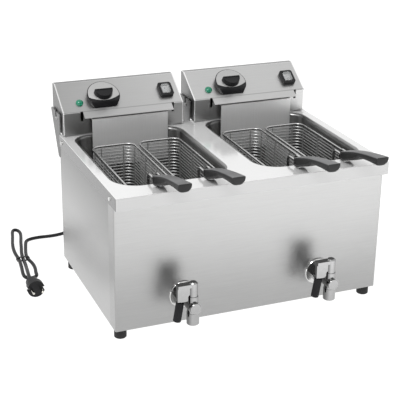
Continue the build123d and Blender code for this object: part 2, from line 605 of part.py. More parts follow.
def thermostat(x):
    """Thermostat box under the control slope, and the bulb on its capillary behind the guard."""
    width, height, depth = THERMOSTAT_SIZE
    box = Pos(*KNOB_PLACE, -SHEET - depth / 2) * Box(width, height, depth)
    shaft_hole = Cylinder(KNOB_SHAFT + RUN_FIT, KNOB_SHAFT_DEPTH + SHEET)
    box -= Pos(*KNOB_PLACE, -SHEET - KNOB_SHAFT_DEPTH / 2) * shaft_hole
    bulb_x = x + TRIM_OFFSET
    exit_z = DECK_TOP + ROD_EXIT_HEIGHT
    bulb_top = DECK_TOP - CAPILLARY_BEND
    capillary = tube([(bulb_x, HEAD_FRONT + ROD_INSIDE, exit_z), (bulb_x, RISER_Y, exit_z),
                      (bulb_x, RISER_Y, bulb_top)], CAPILLARY_BEND, CAPILLARY_RADIUS)
    bulb = upright(bulb_x, RISER_Y, (bulb_top - BULB_LENGTH, bulb_top), BULB_RADIUS)
    return [slope_plane(x) * box, capillary + fillet(bulb.edges(), BULB_RADIUS / 3)]


def knob(x):
    """Thermostat knob: round skirt with one slanted facet, a D-shaped grip on it and a shaft below."""
    top = KNOB_FLOAT + KNOB_THICK
    outside = 2 * KNOB_RADIUS
    skirt = Pos(0, 0, KNOB_FLOAT + KNOB_THICK / 2) * Cylinder(KNOB_RADIUS, KNOB_THICK)
    skirt -= side_profile([(-KNOB_FACET_TOP, top), (-KNOB_FACET_FOOT, KNOB_FLOAT), (-outside, KNOB_FLOAT),
                           (-outside, top)], (-KNOB_RADIUS, KNOB_RADIUS))
    skirt = chamfer(skirt.faces().sort_by(Axis.Z)[-1].edges(), KNOB_THICK / 14)
    grip = Pos(0, KNOB_GRIP_UP, top + KNOB_GRIP_HEIGHT / 2) * Cylinder(KNOB_GRIP_RADIUS, KNOB_GRIP_HEIGHT)
    grip -= block((-outside, outside), (KNOB_GRIP_BACK, outside), (0, top + 2 * KNOB_THICK))
    grip = chamfer(grip.faces().sort_by(Axis.Z)[-1].edges(), KNOB_GRIP_HEIGHT / 12)
    shaft_end = -SHEET - KNOB_SHAFT_DEPTH + SHEET / 2
    shaft = upright(0, 0, (shaft_end, KNOB_FLOAT + KNOB_THICK / 2), KNOB_SHAFT)
    return slope_plane(x) * Pos(*KNOB_PLACE, 0) * (skirt + grip + shaft)


def lamp(x):
    """Signal lamp: domed lens on a stem through the panel."""
    lens = Pos(0, 0, LAMP_DOME / 4) * Cylinder(LAMP_RADIUS, LAMP_DOME / 2)
    ball_radius = (LAMP_RADIUS ** 2 + LAMP_DOME ** 2) / (2 * LAMP_DOME)
    dome = Pos(0, 0, LAMP_DOME - ball_radius) * Sphere(ball_radius)
    dome &= block((-LAMP_RADIUS, LAMP_RADIUS), (-LAMP_RADIUS, LAMP_RADIUS), (0, LAMP_DOME + 1))
    lens = Pos(0, 0, LAMP_DOME / 2) * (dome) + lens
    stem = upright(0, 0, (-LAMP_STEM_LENGTH, LAMP_DOME / 4), LAMP_STEM)
    return slope_plane(x) * Pos(*LAMP_PLACE, 0) * (lens + stem)


def switch_well():
    """Width and height of the opening in the switch frame."""
    return SWITCH_WIDTH - 2 * SWITCH_RIM, SWITCH_HEIGHT - 2 * SWITCH_RIM


def switch_frame(x):
    """Raised black frame of the switch, with its body under the panel and a well for the rocker."""
    well_width, well_height = switch_well()
    frame = extrude(RectangleRounded(SWITCH_WIDTH, SWITCH_HEIGHT, SWITCH_RIM), SWITCH_RAISE)
    body_depth = SWITCH_BODY_DEPTH
    body = Pos(0, 0, -body_depth / 2) * Box(SWITCH_WIDTH - SWITCH_RIM, SWITCH_HEIGHT - SWITCH_RIM, body_depth)
    well = block((-well_width / 2, well_width / 2), (-well_height / 2, well_height / 2),
                 (-ROCKER_WELL, SWITCH_RAISE + 1))
    hole_end = (well_width + SWITCH_RIM) / 2
    pin_hole = along_x(0, -ROCKER_PIVOT_DEPTH, (-hole_end, hole_end), ROCKER_PIN + RUN_FIT)
    return slope_plane(x) * Pos(*SWITCH_PLACE, 0) * (frame + body - well - pin_hole)


def rocker(x):
    """Rocker with its two pivot pins, tipped to its off side."""
    well_width, well_height = switch_well()
    half = well_height / 2 - TRAVEL_GAP
    dish = ROCKER_THICK / 5
    high = ROCKER_THICK / 2
    outline = make_face(Polyline((-half, high), (0, high - dish), (half, high), (half - dish, 0), (0, -high),
                                 (-half + dish, 0), close=True))
    width = well_width - 2 * REST_GAP
    bar = Plane.YZ.offset(-width / 2) * extrude(outline, width)
    pin_end = (well_width + SWITCH_RIM) / 2 - REST_GAP
    pins = along_x(0, 0, (-pin_end, pin_end), ROCKER_PIN)
    turned = Pos(0, 0, -ROCKER_PIVOT_DEPTH) * Rot(ROCKER_TILT, 0, 0) * (bar + pins)
    return slope_plane(x) * Pos(*SWITCH_PLACE, 0) * turned


def switch_cover(x):
    """Clear rubber hood that keeps oil off the rocker."""
    well_width, well_height = switch_well()
    top = SWITCH_RAISE + COVER_RAISE
    low = SWITCH_RAISE - COVER_RAISE / 2
    width = well_width - 2 * SEAM
    height = well_height - 2 * SEAM
    hood = Pos(0, 0, low) * extrude(RectangleRounded(width, height, SWITCH_RIM), top - low)
    hood = fillet(hood.faces().sort_by(Axis.Z)[-1].edges(), COVER_RAISE - COVER_WALL)
    space = RectangleRounded(width - 2 * COVER_WALL, height - 2 * COVER_WALL, SWITCH_RIM - COVER_WALL)
    hood -= Pos(0, 0, low - 1) * extrude(space, top - COVER_RAISE + COVER_WALL - low + 1)
    return slope_plane(x) * Pos(*SWITCH_PLACE, 0) * hood


def cord_gland(x):
    """Strain relief on the head's rear."""
    gland_x = x + GLAND_OFFSET
    z = DECK_TOP + GLAND_HEIGHT
    nut_end = HEAD_REAR + GLAND_NUT_LENGTH
    nose_end = nut_end + GLAND_NOSE_LENGTH
    nut = Pos(gland_x, nut_end, z) * Rot(90, 0, 0) * extrude(RegularPolygon(GLAND_NUT, 6), GLAND_NUT_LENGTH)
    gland = nut + along_y(gland_x, z, (nut_end, nose_end), GLAND_NOSE)
    tail = Cone(GLAND_NOSE - SHEET / 2, GLAND_TAIL, GLAND_TAIL_LENGTH)
    gland += Pos(gland_x, nose_end + GLAND_TAIL_LENGTH / 2, z) * Rot(-90, 0, 0) * tail
    return gland - along_y(gland_x, z, (HEAD_REAR - 1, CORD_END_Y + 1), CORD_RADIUS - 1)


# Head brackets and screws

def bracket_sides():
    """For each bracket: the plate's span across the body, and which way its flange turns."""
    spans = []
    for x in TANK_X.values():
        for sign in (-1, 1):
            near = x + sign * (HEAD_WIDTH / 2 + BRACKET_GAP)
            spans.append((sorted((near, near + sign * BRACKET_THICK)), -sign))
    return spans


def bracket_screw_places():
    """Two screws through each bracket's flange into the rear panel, as (x, z)."""
    places = []
    for span, turn in bracket_sides():
        x = sum(span) / 2 + turn * (BRACKET_THICK / 2 + FLANGE_WIDTH * 0.6)
        for level in (0.3, 0.75):
            low = DECK_TOP - BRACKET_DROP
            places.append((x, low + level * (BRACKET_DROP - SKIRT_HEIGHT)))
    return places


def head_brackets():
    """Four gusset plates at the body's rear; a slot open at the top takes the head's pin."""
    plates = []
    low = DECK_TOP - BRACKET_DROP
    high = DECK_TOP + BRACKET_TOP
    skirt_low = DECK_TOP - SKIRT_HEIGHT - SEAM
    over_deck = DECK_TOP + SEAM
    clear_rear = DECK_REAR + SEAM
    pin_y = BODY_REAR + PIN_BEHIND
    pin_z = DECK_TOP + PIN_HEIGHT
    outline = [(BODY_REAR, low), (BODY_REAR + BRACKET_FOOT, low), (BRACKET_REAR, high - PIN_RADIUS),
               (BRACKET_REAR - PIN_RADIUS, high), (BODY_REAR - BRACKET_FORE, high),
               (BODY_REAR - BRACKET_FORE, over_deck), (clear_rear, over_deck), (clear_rear, skirt_low),
               (BODY_REAR, skirt_low)]
    slot = PIN_RADIUS + REST_GAP
    for span, turn in bracket_sides():
        plate = side_profile(outline, span)
        wide = (span[0] - 1, span[1] + 1)
        plate -= along_x(pin_y, pin_z, wide, slot)
        plate -= block(wide, (pin_y - slot, pin_y + slot), (pin_z, high + 1))
        edge = span[1] if turn > 0 else span[0]
        flange_x = sorted((edge, edge + turn * FLANGE_WIDTH))
        plate += block(flange_x, (BODY_REAR, BODY_REAR + BRACKET_THICK), (low, skirt_low))
        plates.append(plate)
    for x, z in bracket_screw_places():
        hole = along_y(x, z, (BODY_REAR - 1, BODY_REAR + 2 * BRACKET_THICK), SCREW_RADIUS + SEAM)
        plates = [plate - hole for plate in plates]
    return plates


def skirt_screw_height():
    """Skirt screws sit half-way up the skirt."""
    return DECK_TOP - SKIRT_HEIGHT / 2


def skirt_screw_places():
    """Screws through the deck's side skirts into the body, as (x, y, side)."""
    places = []
    for sign in SIDES.values():
        for y in (SKIRT_SCREW_ENDS[0], DECK_REAR - SKIRT_SCREW_ENDS[1]):
            places.append((sign * BODY_WIDTH / 2, y, sign))
    return places


def screw(length):
    """Pan-head screw whose head stands on z = 0 and whose shank goes down."""
    head = Pos(0, 0, SCREW_HEAD_HEIGHT / 2) * Cylinder(SCREW_HEAD, SCREW_HEAD_HEIGHT)
    head = fillet(head.edges().sort_by(Axis.Z)[-1], SCREW_HEAD_HEIGHT / 2)
    return head + upright(0, 0, (-length, SCREW_HEAD_HEIGHT / 2), SCREW_RADIUS)


def screws():
    """All visible screws: on the deck's skirt and on the head brackets."""
    pieces = []
    for x, y, sign in skirt_screw_places():
        pieces.append(Pos(x, y, skirt_screw_height()) * Rot(0, sign * 90, 0) * screw(3 * SHEET))
    for x, z in bracket_screw_places():
        shank = screw(BRACKET_THICK + 2 * SHEET)
        pieces.append(Pos(x, BODY_REAR + BRACKET_THICK, z) * Rot(-90, 0, 0) * shank)
    return pieces


# Baskets

def basket_places():
    """Middles of the four baskets, from left to right."""
    shift = (BASKET_WIDTH + BASKET_GAP) / 2
    return [x + TRIM_OFFSET + sign * shift for x in TANK_X.values() for sign in (-1, 1)]


def net_panel(width, height, columns, rows, corner=0.0):
    """A flat net on the XY plane, its corners cut off if asked: one holed face, given its thickness."""
    hole_width = (width - NET_WIRE * (columns + 1)) / columns
    hole_height = (height - NET_WIRE * (rows + 1)) / rows
    places = GridLocations(hole_width + NET_WIRE, hole_height + NET_WIRE, columns, rows)
    holes = Sketch() + [place * Rectangle(hole_width, hole_height) for place in places]
    outline = Rectangle(width, height)
    if corner:
        outline = chamfer(outline.vertices(), corner)
        inside = Rectangle(width - 2 * NET_WIRE, height - 2 * NET_WIRE)
        holes &= chamfer(inside.vertices(), corner - NET_WIRE * (2 - math.sqrt(2)))
    return extrude(outline - holes, NET_WIRE)


def basket_net(x):
    """Four net walls with a narrow net across each corner, and a net floor, inside the rim."""
    width = BASKET_WIDTH - 2 * RIM_WIRE
    length = BASKET_LENGTH - 2 * RIM_WIRE
    height = BASKET_DEPTH - RIM_WIRE - NET_WIRE
    corner = RIM_CORNER - RIM_WIRE
    rows = round(height / NET_ROW)
    middle = Pos(x, BASKET_FRONT_Y + BASKET_LENGTH / 2, RIM_Z - RIM_WIRE - height / 2)
    end = net_panel(width - 2 * corner, height, round((width - 2 * corner) / NET_COLUMN), rows)
    wall = net_panel(length - 2 * corner, height, round((length - 2 * corner) / NET_COLUMN), rows)
    bridge = net_panel(corner * math.sqrt(2) - 2 * (NET_WIRE / math.sqrt(2) + SEAM), height, 1, rows)
    floor = net_panel(width, length, round(width / NET_FLOOR_ROW), round(length / NET_COLUMN), corner)
    nets = [middle * Pos(0, 0, -height / 2 - NET_WIRE) * floor]
    for sign in (-1, 1):
        turn = Rot(0, 0, 90 * sign + 90)
        nets.append(middle * turn * Pos(0, NET_WIRE - length / 2, 0) * Rot(90, 0, 0) * end)
        nets.append(middle * turn * Rot(0, 0, 90) * Pos(0, NET_WIRE - width / 2, 0) * Rot(90, 0, 0) * wall)
        for side in (-1, 1):
            place = Pos(side * (width - corner) / 2, (corner - length) / 2, 0)
            inset = Pos(0, NET_WIRE, 0)
            nets.append(middle * turn * place * Rot(0, 0, side * 45) * inset * Rot(90, 0, 0) * bridge)
    return nets


def basket_frame(x):
    """Rim wire with rounded corners, and the two bracket wires that reach over the tank's lip."""
    rim_width = BASKET_WIDTH - 2 * RIM_WIRE
    rim_length = BASKET_LENGTH - 2 * RIM_WIRE
    middle_y = BASKET_FRONT_Y + BASKET_LENGTH / 2
    corner = RIM_CORNER - RIM_WIRE
    path = Pos(x, middle_y, RIM_Z) * Wire(RectangleRounded(rim_width, rim_length, corner).edges())
    section = Plane(origin=path @ 0, z_dir=path % 0) * Circle(RIM_WIRE)
    wires = [sweep(section, path=path)]
    stay_y = BASKET_FRONT_Y - STAY_WIRE - SEAM
    for sign in (-1, 1):
        stay_x = x + sign * STAY_SPREAD
        route = [(stay_x, stay_y, RIM_Z - STAY_FOOT), (stay_x, stay_y, stay_height()),
                 (stay_x, HANDLE_ROOT - STAY_DEPTH_IN_HANDLE, stay_height())]
        wires.append(tube(route, STAY_BEND, STAY_WIRE))
    return wires


def stay_height():
    """Height of the bracket wires where they enter the handle."""
    return DECK_TOP + (HANDLE_CLEAR + HANDLE_ROOT_TOP) / 2


def basket_handle(x):
    """Moulded handle: root block over the deck, neck that rises forward, thick end with an upright face."""
    neck_y, neck_z = HANDLE_NECK
    tip_low = HANDLE_TIP_TOP - HANDLE_TIP_THICK
    tip_back = HANDLE_TIP_ROUND - HANDLE_REACH
    inset = HANDLE_TIP_ROUND * (1 - math.sqrt(0.5))
    foot = (HANDLE_ROOT - HANDLE_RAKE, HANDLE_CLEAR)
    heel = (HANDLE_ROOT, HANDLE_ROOT_TOP)
    brow = (-HANDLE_REACH, HANDLE_TIP_TOP)
    under_neck = (neck_y, neck_z - HANDLE_NECK_THICK)
    with_arcs = [
        Line(foot, heel),
        Spline(heel, HANDLE_NECK, brow, tangents=[(-1, 0.38), (-1, 0.08)]),
        Line(brow, (-HANDLE_REACH, tip_low + HANDLE_TIP_ROUND)),
        ThreePointArc((-HANDLE_REACH, tip_low + HANDLE_TIP_ROUND), (inset - HANDLE_REACH, tip_low + inset),
                      (tip_back, tip_low)),
        Spline((tip_back, tip_low), under_neck, tangents=[(1, -0.05), (1, -0.3)]),
        Line(under_neck, HANDLE_CHIN),
        Line(HANDLE_CHIN, foot),
    ]
    outline = make_face(Curve() + with_arcs)
    bar = Plane.YZ.offset(x - HANDLE_WIDTH / 2) * extrude(outline, HANDLE_WIDTH)
    bar = Pos(0, 0, DECK_TOP) * bar
    for sign in (-1, 1):
        hole_x = x + sign * STAY_SPREAD
        bar -= along_y(hole_x, stay_height(), (HANDLE_ROOT - STAY_DEPTH_IN_HANDLE - SEAM, HANDLE_ROOT + 1),
                       STAY_WIRE + SEAM)
    return bar


# Cord and plug

GLAND_X = TANK_X["left"] + GLAND_OFFSET
GLAND_Z = DECK_TOP + GLAND_HEIGHT

# The cord leaves the left head's gland, drops behind the body and runs left along the floor.
CORD_RUN = [
    (GLAND_X, CORD_END_Y, GLAND_Z), (GLAND_X, CORD_END_Y + 24, GLAND_Z),
    (GLAND_X - 1, CORD_END_Y + 46, GLAND_Z - 20), (GLAND_X - 3, CORD_END_Y + 57, GLAND_Z - 50),
    (GLAND_X - 2, CORD_END_Y + 60, GLAND_Z - 105), (GLAND_X - 4, CORD_END_Y + 57, GLAND_Z - 170),
    (GLAND_X - 6, CORD_END_Y + 59, GLAND_Z - 230), (GLAND_X - 8, CORD_END_Y + 61, 62.0),
    (GLAND_X - 15, CORD_END_Y + 60, 28.0), (GLAND_X - 35, CORD_END_Y + 58, 8.0),
    (-274.0, 547.5, CORD_LIE), (-306.0, 551.0, CORD_LIE), (-328.0, 549.0, CORD_LIE),
    (-341.0, 541.0, CORD_LIE), (-346.0, 526.0, CORD_LIE), (-349.5, 511.0, CORD_LIE),
]

# The tied hank: down its right side, round the lower end, up its left side, round the upper end, and
# down the middle to the plug, over the lower turn.
PLUG_X = -386.0
PLUG_TAIL = 309.0
HANK = [
    (-349.5, 511.0, CORD_LIE), (-353.0, 497.0, CORD_LIE), (-358.5, 472.0, CORD_LIE),
    (-362.0, 447.0, CORD_LIE), (-356.0, 415.0, CORD_LIE), (-357.0, 387.0, CORD_LIE),
    (-361.0, 369.0, CORD_LIE), (-362.0, 352.0, CORD_LIE), (-370.2, 344.0, CORD_LIE),
    (-380.8, 344.0, CORD_LIE), (-389.0, 352.0, CORD_LIE), (-389.5, 369.0, CORD_LIE),
    (-386.0, 392.0, CORD_LIE), (-382.5, 420.0, CORD_LIE), (-380.0, 447.0, CORD_LIE),
    (-381.5, 478.0, CORD_LIE), (-379.5, 508.0, CORD_LIE), (-374.5, 538.0, CORD_LIE),
    (-368.0, 565.0, CORD_LIE), (-363.0, 588.0, CORD_LIE), (-361.3, 603.4, CORD_LIE),
    (-355.9, 608.8, CORD_LIE), (-348.3, 608.8, CORD_LIE), (-342.9, 603.4, CORD_LIE),
    (-343.5, 587.0, CORD_LIE), (-348.5, 562.0, CORD_LIE), (-355.0, 536.0, CORD_LIE),
    (-360.5, 508.0, CORD_LIE), (-367.5, 477.0, CORD_LIE), (-371.0, 447.0, CORD_LIE),
    (-373.0, 416.0, CORD_LIE + 1), (-377.0, 388.0, CORD_LIE + 5), (-381.0, 363.0, PLUG_RADIUS - 2),
    (-384.0, 341.0, PLUG_RADIUS), (PLUG_X, 325.0, PLUG_RADIUS), (PLUG_X, PLUG_TAIL, PLUG_RADIUS),
]
TIE_Y = 447.0


def corner_radii(points):
    """Each corner's largest arc: 0.45 of its shorter run, over the tangent of half its turn."""
    spots = [Vector(*point) for point in points]
    radii = []
    for before, here, after in zip(spots, spots[1:], spots[2:]):
        into = here - before
        out = after - here
        half_turn = math.radians(into.get_angle(out)) / 2
        radii.append(0.45 * min(into.length, out.length) / math.tan(half_turn))
    return radii


def cord_tube(name, points):
    """A stretch of cord; prints its radii and compares its volume with section times length."""
    radii = corner_radii(points)
    path = FilletPolyline(*points, radius=radii)
    solid = tube(points, radii, CORD_RADIUS)
    share = solid.volume / (math.pi * CORD_RADIUS ** 2 * path.length)
    print(f"{name}: length {path.length:.0f}, least radius {min(radii):.1f}, volume ratio {share:.4f}")
    print("  radii", " ".join(f"{radius:.0f}" for radius in radii))
    return solid, path


def least_gap(path, radius, step):
    """The least gap between stretches of a tube that lie apart along it, measured on points."""
    count = int(path.length / step)
    spots = [path @ (index / count) for index in range(count + 1)]
    skip = int(4 * math.pi * radius / step)
    gaps = [(spots[first] - spots[second]).length
            for first in range(len(spots)) for second in range(first + skip, len(spots))]
    return min(gaps) - 2 * radius


def cord_tie():
    """Flat strap round the hank's waist."""
    waist = [x for x, y, z in HANK if y == TIE_Y]
    width = max(waist) - min(waist) + 2 * (CORD_RADIUS + TIE_SIDE)
    height = 2 * (CORD_RADIUS + TIE_CLEAR)
    inner = RectangleRounded(width, height, height / 2 - SEAM)
    outer = RectangleRounded(width + 2 * TIE_THICK, height + 2 * TIE_THICK, height / 2 + TIE_THICK - SEAM)
    strap = extrude(outer - inner, TIE_WIDTH)
    return Pos((max(waist) + min(waist)) / 2, TIE_Y + TIE_WIDTH / 2, CORD_LIE) * Rot(90, 0, 0) * strap


def plug_body():
    """Round plug: neck, grip and a face ring with a notch on either side."""
    neck_end = PLUG_TAIL - PLUG_NECK_LENGTH
    grip_end = neck_end - PLUG_GRIP_LENGTH
    face_end = grip_end - PLUG_FACE
    neck = Cone(PLUG_GRIP * 0.7, PLUG_NECK, PLUG_NECK_LENGTH)
    body = Pos(PLUG_X, neck_end + PLUG_NECK_LENGTH / 2, PLUG_RADIUS) * Rot(-90, 0, 0) * neck
    body += along_y(PLUG_X, PLUG_RADIUS, (grip_end, neck_end), PLUG_GRIP)
    body += along_y(PLUG_X, PLUG_RADIUS + REST_GAP, (face_end, grip_end), PLUG_RADIUS)
    for sign in (-1, 1):
        notch_x = PLUG_X + sign * PLUG_RADIUS
        body -= block((notch_x - PLUG_NOTCH, notch_x + PLUG_NOTCH), (face_end - 1, grip_end + 1),
                      (PLUG_RADIUS - PLUG_NOTCH, PLUG_RADIUS + PLUG_NOTCH))
    for pin_x in plug_pin_places():
        body -= along_y(pin_x, PLUG_RADIUS, (face_end - 1, grip_end), PLUG_PIN_RADIUS + SEAM / 2)
    return body


def plug_pin_places():
    """Where the two round pins stand."""
    return [PLUG_X - PLUG_PIN_PITCH / 2, PLUG_X + PLUG_PIN_PITCH / 2]


def plug_pins():
    """Two round contact pins, seated in the plug's face."""
    grip_end = PLUG_TAIL - PLUG_NECK_LENGTH - PLUG_GRIP_LENGTH
    face_end = grip_end - PLUG_FACE
    pins = []
    for pin_x in plug_pin_places():
        pin = along_y(pin_x, PLUG_RADIUS, (face_end - PLUG_PIN_LENGTH, grip_end), PLUG_PIN_RADIUS)
        pins.append(fillet(pin.edges().sort_by(Axis.Y)[0], PLUG_PIN_RADIUS / 2))
    return pins


# Everything is built and written here

os.makedirs("parts", exist_ok=True)
save("deck_top", deck_top())
save("front_panel", front_panel())
save("side_panels", *side_panels())
save("rear_panel", rear_panel())
save("base_plate", base_plate())
save("feet", *feet())
save("drain_pipes", *[drain_pipe(x) for x in TANK_X.values()])
save("tap_flanges", *[tap_flange(x) for x in TANK_X.values()])
save("head_brackets", *head_brackets())
save("screws", *screws())

for side, tank_x in TANK_X.items():
    save(f"tank_{side}", tank(tank_x))
    save(f"tap_body_{side}", tap_body(tank_x))
    save(f"tap_ball_{side}", tap_ball(tank_x))
    save(f"tap_lever_{side}", tap_lever(tank_x))
    save(f"tap_grip_{side}", tap_grip(tank_x))
    save(f"head_shell_{side}", head_shell(tank_x), *hook_pins(tank_x))
    save(f"head_back_{side}", head_back(tank_x))
    save(f"guard_plate_{side}", guard_plate(tank_x))
    save(f"heating_element_{side}", *heating_element(tank_x))
    save(f"thermostat_{side}", *thermostat(tank_x))
    save(f"knob_{side}", knob(tank_x))
    save(f"lamp_{side}", lamp(tank_x))
    save(f"switch_frame_{side}", switch_frame(tank_x))
    save(f"rocker_{side}", rocker(tank_x))
    save(f"switch_cover_{side}", switch_cover(tank_x))
    save(f"cord_gland_{side}", cord_gland(tank_x))

for number, basket_x in enumerate(basket_places(), start=1):
    save(f"basket_net_{number}", *basket_net(basket_x))
    save(f"basket_frame_{number}", *basket_frame(basket_x))
    save(f"basket_handle_{number}", basket_handle(basket_x))

run_solid, run_path = cord_tube("cord run", CORD_RUN)
hank_solid, hank_path = cord_tube("hank", HANK)
print(f"hank: least gap to itself {least_gap(hank_path, CORD_RADIUS, 1.0):.2f}")
print(f"cord length in all {run_path.length + hank_path.length:.0f}")
save("cord_run", run_solid)
save("cord_hank", hank_solid)
save("cord_tie", cord_tie())
save("plug_body", plug_body())
save("plug_pins", *plug_pins())
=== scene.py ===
import json
import math

import bmesh
import bpy
from mathutils import Matrix, Vector


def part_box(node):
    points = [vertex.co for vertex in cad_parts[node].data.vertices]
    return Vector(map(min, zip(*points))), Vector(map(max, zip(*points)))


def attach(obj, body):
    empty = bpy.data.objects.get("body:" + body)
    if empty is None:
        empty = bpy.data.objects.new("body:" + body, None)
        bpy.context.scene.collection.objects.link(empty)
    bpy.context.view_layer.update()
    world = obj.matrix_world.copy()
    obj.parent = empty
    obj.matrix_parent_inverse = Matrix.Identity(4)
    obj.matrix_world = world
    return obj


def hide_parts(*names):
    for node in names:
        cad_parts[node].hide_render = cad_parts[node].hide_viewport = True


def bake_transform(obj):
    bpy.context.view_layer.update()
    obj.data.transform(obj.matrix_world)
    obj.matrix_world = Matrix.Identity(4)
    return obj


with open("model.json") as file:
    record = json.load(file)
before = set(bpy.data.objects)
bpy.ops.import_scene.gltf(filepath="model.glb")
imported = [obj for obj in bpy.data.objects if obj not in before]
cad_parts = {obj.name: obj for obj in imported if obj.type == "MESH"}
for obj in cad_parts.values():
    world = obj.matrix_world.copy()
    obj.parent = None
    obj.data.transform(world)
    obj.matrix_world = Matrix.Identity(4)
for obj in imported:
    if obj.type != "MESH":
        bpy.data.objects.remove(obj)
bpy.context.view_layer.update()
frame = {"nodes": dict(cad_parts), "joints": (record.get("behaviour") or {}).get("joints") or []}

nodes = frame["nodes"]


# Body panels and base plate
# Satin stainless sheet, brushed along its length, folded and riveted into an open box. The front sheet
# folds round onto both sides; its brushed grain smears reflections upwards.

class Shade:
    """A socket in a material's node tree. Operators on it add Math nodes, and node() adds any other node."""

    def __init__(self, tree, socket=None):
        self.tree = tree
        self.socket = socket

    def node(self, kind, settings, sockets, output=0):
        made = self.tree.nodes.new("ShaderNode" + kind)
        for name, value in settings.items():
            if name == "stops":
                ramp = made.color_ramp
                while len(ramp.elements) < len(value):
                    ramp.elements.new(0.5)
                for element, (place, colour) in zip(ramp.elements, value):
                    element.position = place
                    element.color = (*colour, 1.0)
            else:
                setattr(made, name, value)
        for name, value in sockets.items():
            if isinstance(value, Shade):
                self.tree.links.new(value.socket, made.inputs[name])
            else:
                made.inputs[name].default_value = value
        return Shade(self.tree, made.outputs[output])

    def maths(self, operation, first, second):
        return self.node("Math", {"operation": operation}, {0: first, 1: second})

    def __add__(self, other):
        return self.maths("ADD", self, other)

    __radd__ = __add__

    def __sub__(self, other):
        return self.maths("SUBTRACT", self, other)

    def __rsub__(self, other):
        return self.maths("SUBTRACT", other, self)

    def __mul__(self, other):
        return self.maths("MULTIPLY", self, other)

    __rmul__ = __mul__

    def feed(self, shader, name):
        self.tree.links.new(self.socket, shader.inputs[name])


def new_material(name, metallic, roughness, colour):
    """A material with a plain Principled shader, that shader, and the material's Object coordinates."""
    material = bpy.data.materials.new(name)
    material.use_nodes = True
    tree = material.node_tree
    shader = tree.nodes["Principled BSDF"]
    shader.inputs["Metallic"].default_value = metallic
    shader.inputs["Roughness"].default_value = roughness
    shader.inputs["Base Color"].default_value = (*colour, 1.0)
    return material, shader, Shade(tree).node("TexCoord", {}, {}, "Object")


def part(vector, axis):
    """One coordinate of a vector."""
    return vector.node("SeparateXYZ", {}, {"Vector": vector}, axis)


def mottle(place, scale, detail, roughness=0.5):
    """Soft random spots between 0 and 1."""
    sockets = {"Vector": place, "Scale": scale, "Detail": detail, "Roughness": roughness}
    return place.node("TexNoise", {}, sockets, "Fac")


def passage(value, start, end, first, last, kind="LINEAR"):
    """A tone that goes from first to last while the value goes from start to end."""
    sockets = {"Value": value, "From Min": start, "From Max": end, "To Min": first, "To Max": last}
    return value.node("MapRange", {"interpolation_type": kind}, sockets)


def paint(shader, colours, along, painted_light):
    """Colour a material with a range of colours along a value, times a factor of painted light and shade."""
    tint = along.node("ValToRGB", {"stops": colours}, {"Fac": along})
    tint = along.node("VectorMath", {"operation": "SCALE"}, {0: tint, "Scale": painted_light}, "Vector")
    tint.feed(shader, "Base Color")


def emboss(shader, height, strength, depth):
    """Give a material a fine relief."""
    relief = height.node("Bump", {}, {"Strength": strength, "Distance": depth, "Height": height})
    relief.feed(shader, "Normal")


def painted_light_tone(place, upright, sideways, bend_highlight, level_top=1.0):
    """A factor for the colour that paints light and shade by the way a face points: painted shade on upright
    faces and on those that face sideways or straight up, and a painted highlight on the rounded folds
    between the flat faces."""
    normal = place.node("TexCoord", {}, {}, "Normal")
    across = part(normal, "X")
    along = part(normal, "Y")
    level = part(normal, "Z")
    slope_level = 0.8281
    slope_front = 0.5606
    sloped = slope_level * level - slope_front * along
    squarest = across * across
    for share in (along, level, sloped):
        squarest = place.maths("MAXIMUM", squarest, share * share)
    nearly_flat = 0.97
    flat = 0.995
    lying = passage(level, 0.2, 0.8, upright, 1.0)
    aside = passage(across * across, 0.2, 0.9, 1.0, sideways)
    upward = passage(level, nearly_flat, flat, 1.0, level_top)
    bend = passage(squarest, flat, nearly_flat, 1.0, bend_highlight)
    return lying * aside * upward * bend


def brushed_steel(name, grain, dark, light, smooth, rough, groove, metallic=1.0, upright=1.0, sideways=1.0,
                  bend_highlight=1.0, level_top=1.0, shadow_line=None, fade=None, cheeks=None):
    """Stainless sheet whose fine scratches run along the axis with the smallest grain scale. The seam
    argument is the height, half width and tone of a painted shadow line that runs along a fold or under
    another sheet's edge, and a fade is two heights and the tone of painted shade at the second. Cheeks are
    each head's middle and half width, the width and tone of painted highlights on its two side edges, and
    the tone of painted shade at the fryer's left end."""
    material, shader, place = new_material(name, metallic, rough, light)
    lines = place.node("Mapping", {}, {"Vector": place, "Scale": grain})
    scratch = mottle(lines, 1.0, 5.0, roughness=0.65)
    cloud = mottle(place, 4.0, 2.0)
    tone = 0.75 * scratch + 0.25 * cloud
    painted_light = painted_light_tone(place, upright, sideways, bend_highlight, level_top)
    line_core = 0.6
    # Painted shade that changes with height.
    if fade:
        fade_low, fade_high, fade_tone = fade
        painted_light = painted_light * passage(part(place, "Z"), fade_low, fade_high, 1.0, fade_tone)
    # A painted shadow line, darkest along its middle.
    if shadow_line:
        shadow_line_height, half_width, shadow_line_tone = shadow_line
        away = place.maths("ABSOLUTE", part(place, "Z") - shadow_line_height, 0.0)
        painted_light = painted_light * passage(away, line_core * half_width, half_width, shadow_line_tone, 1.0)
    # Painted highlights along each head's two side edges, and painted shade towards the fryer's left end.
    if cheeks:
        middle, half_head, edge_width, edge_highlight_tone, left_tone = cheeks
        across = part(place, "X")
        from_middle = place.maths("ABSOLUTE", place.maths("ABSOLUTE", across, 0.0) - middle, 0.0)
        painted_light = painted_light * passage(from_middle, half_head - edge_width, half_head - line_core * edge_width,
                              1.0, edge_highlight_tone)
        painted_light = painted_light * passage(across, -middle - half_head, half_head - middle, left_tone, 1.0)
    paint(shader, [(0.25, dark), (0.75, light)], tone, painted_light)
    (smooth + (rough - smooth) * tone).feed(shader, "Roughness")
    emboss(shader, scratch, groove, 0.0004)
    return material


def dress(material, *names):
    """Give CAD nodes a finish."""
    for name in names:
        mesh = nodes[name].data
        mesh.materials.clear()
        mesh.materials.append(material)
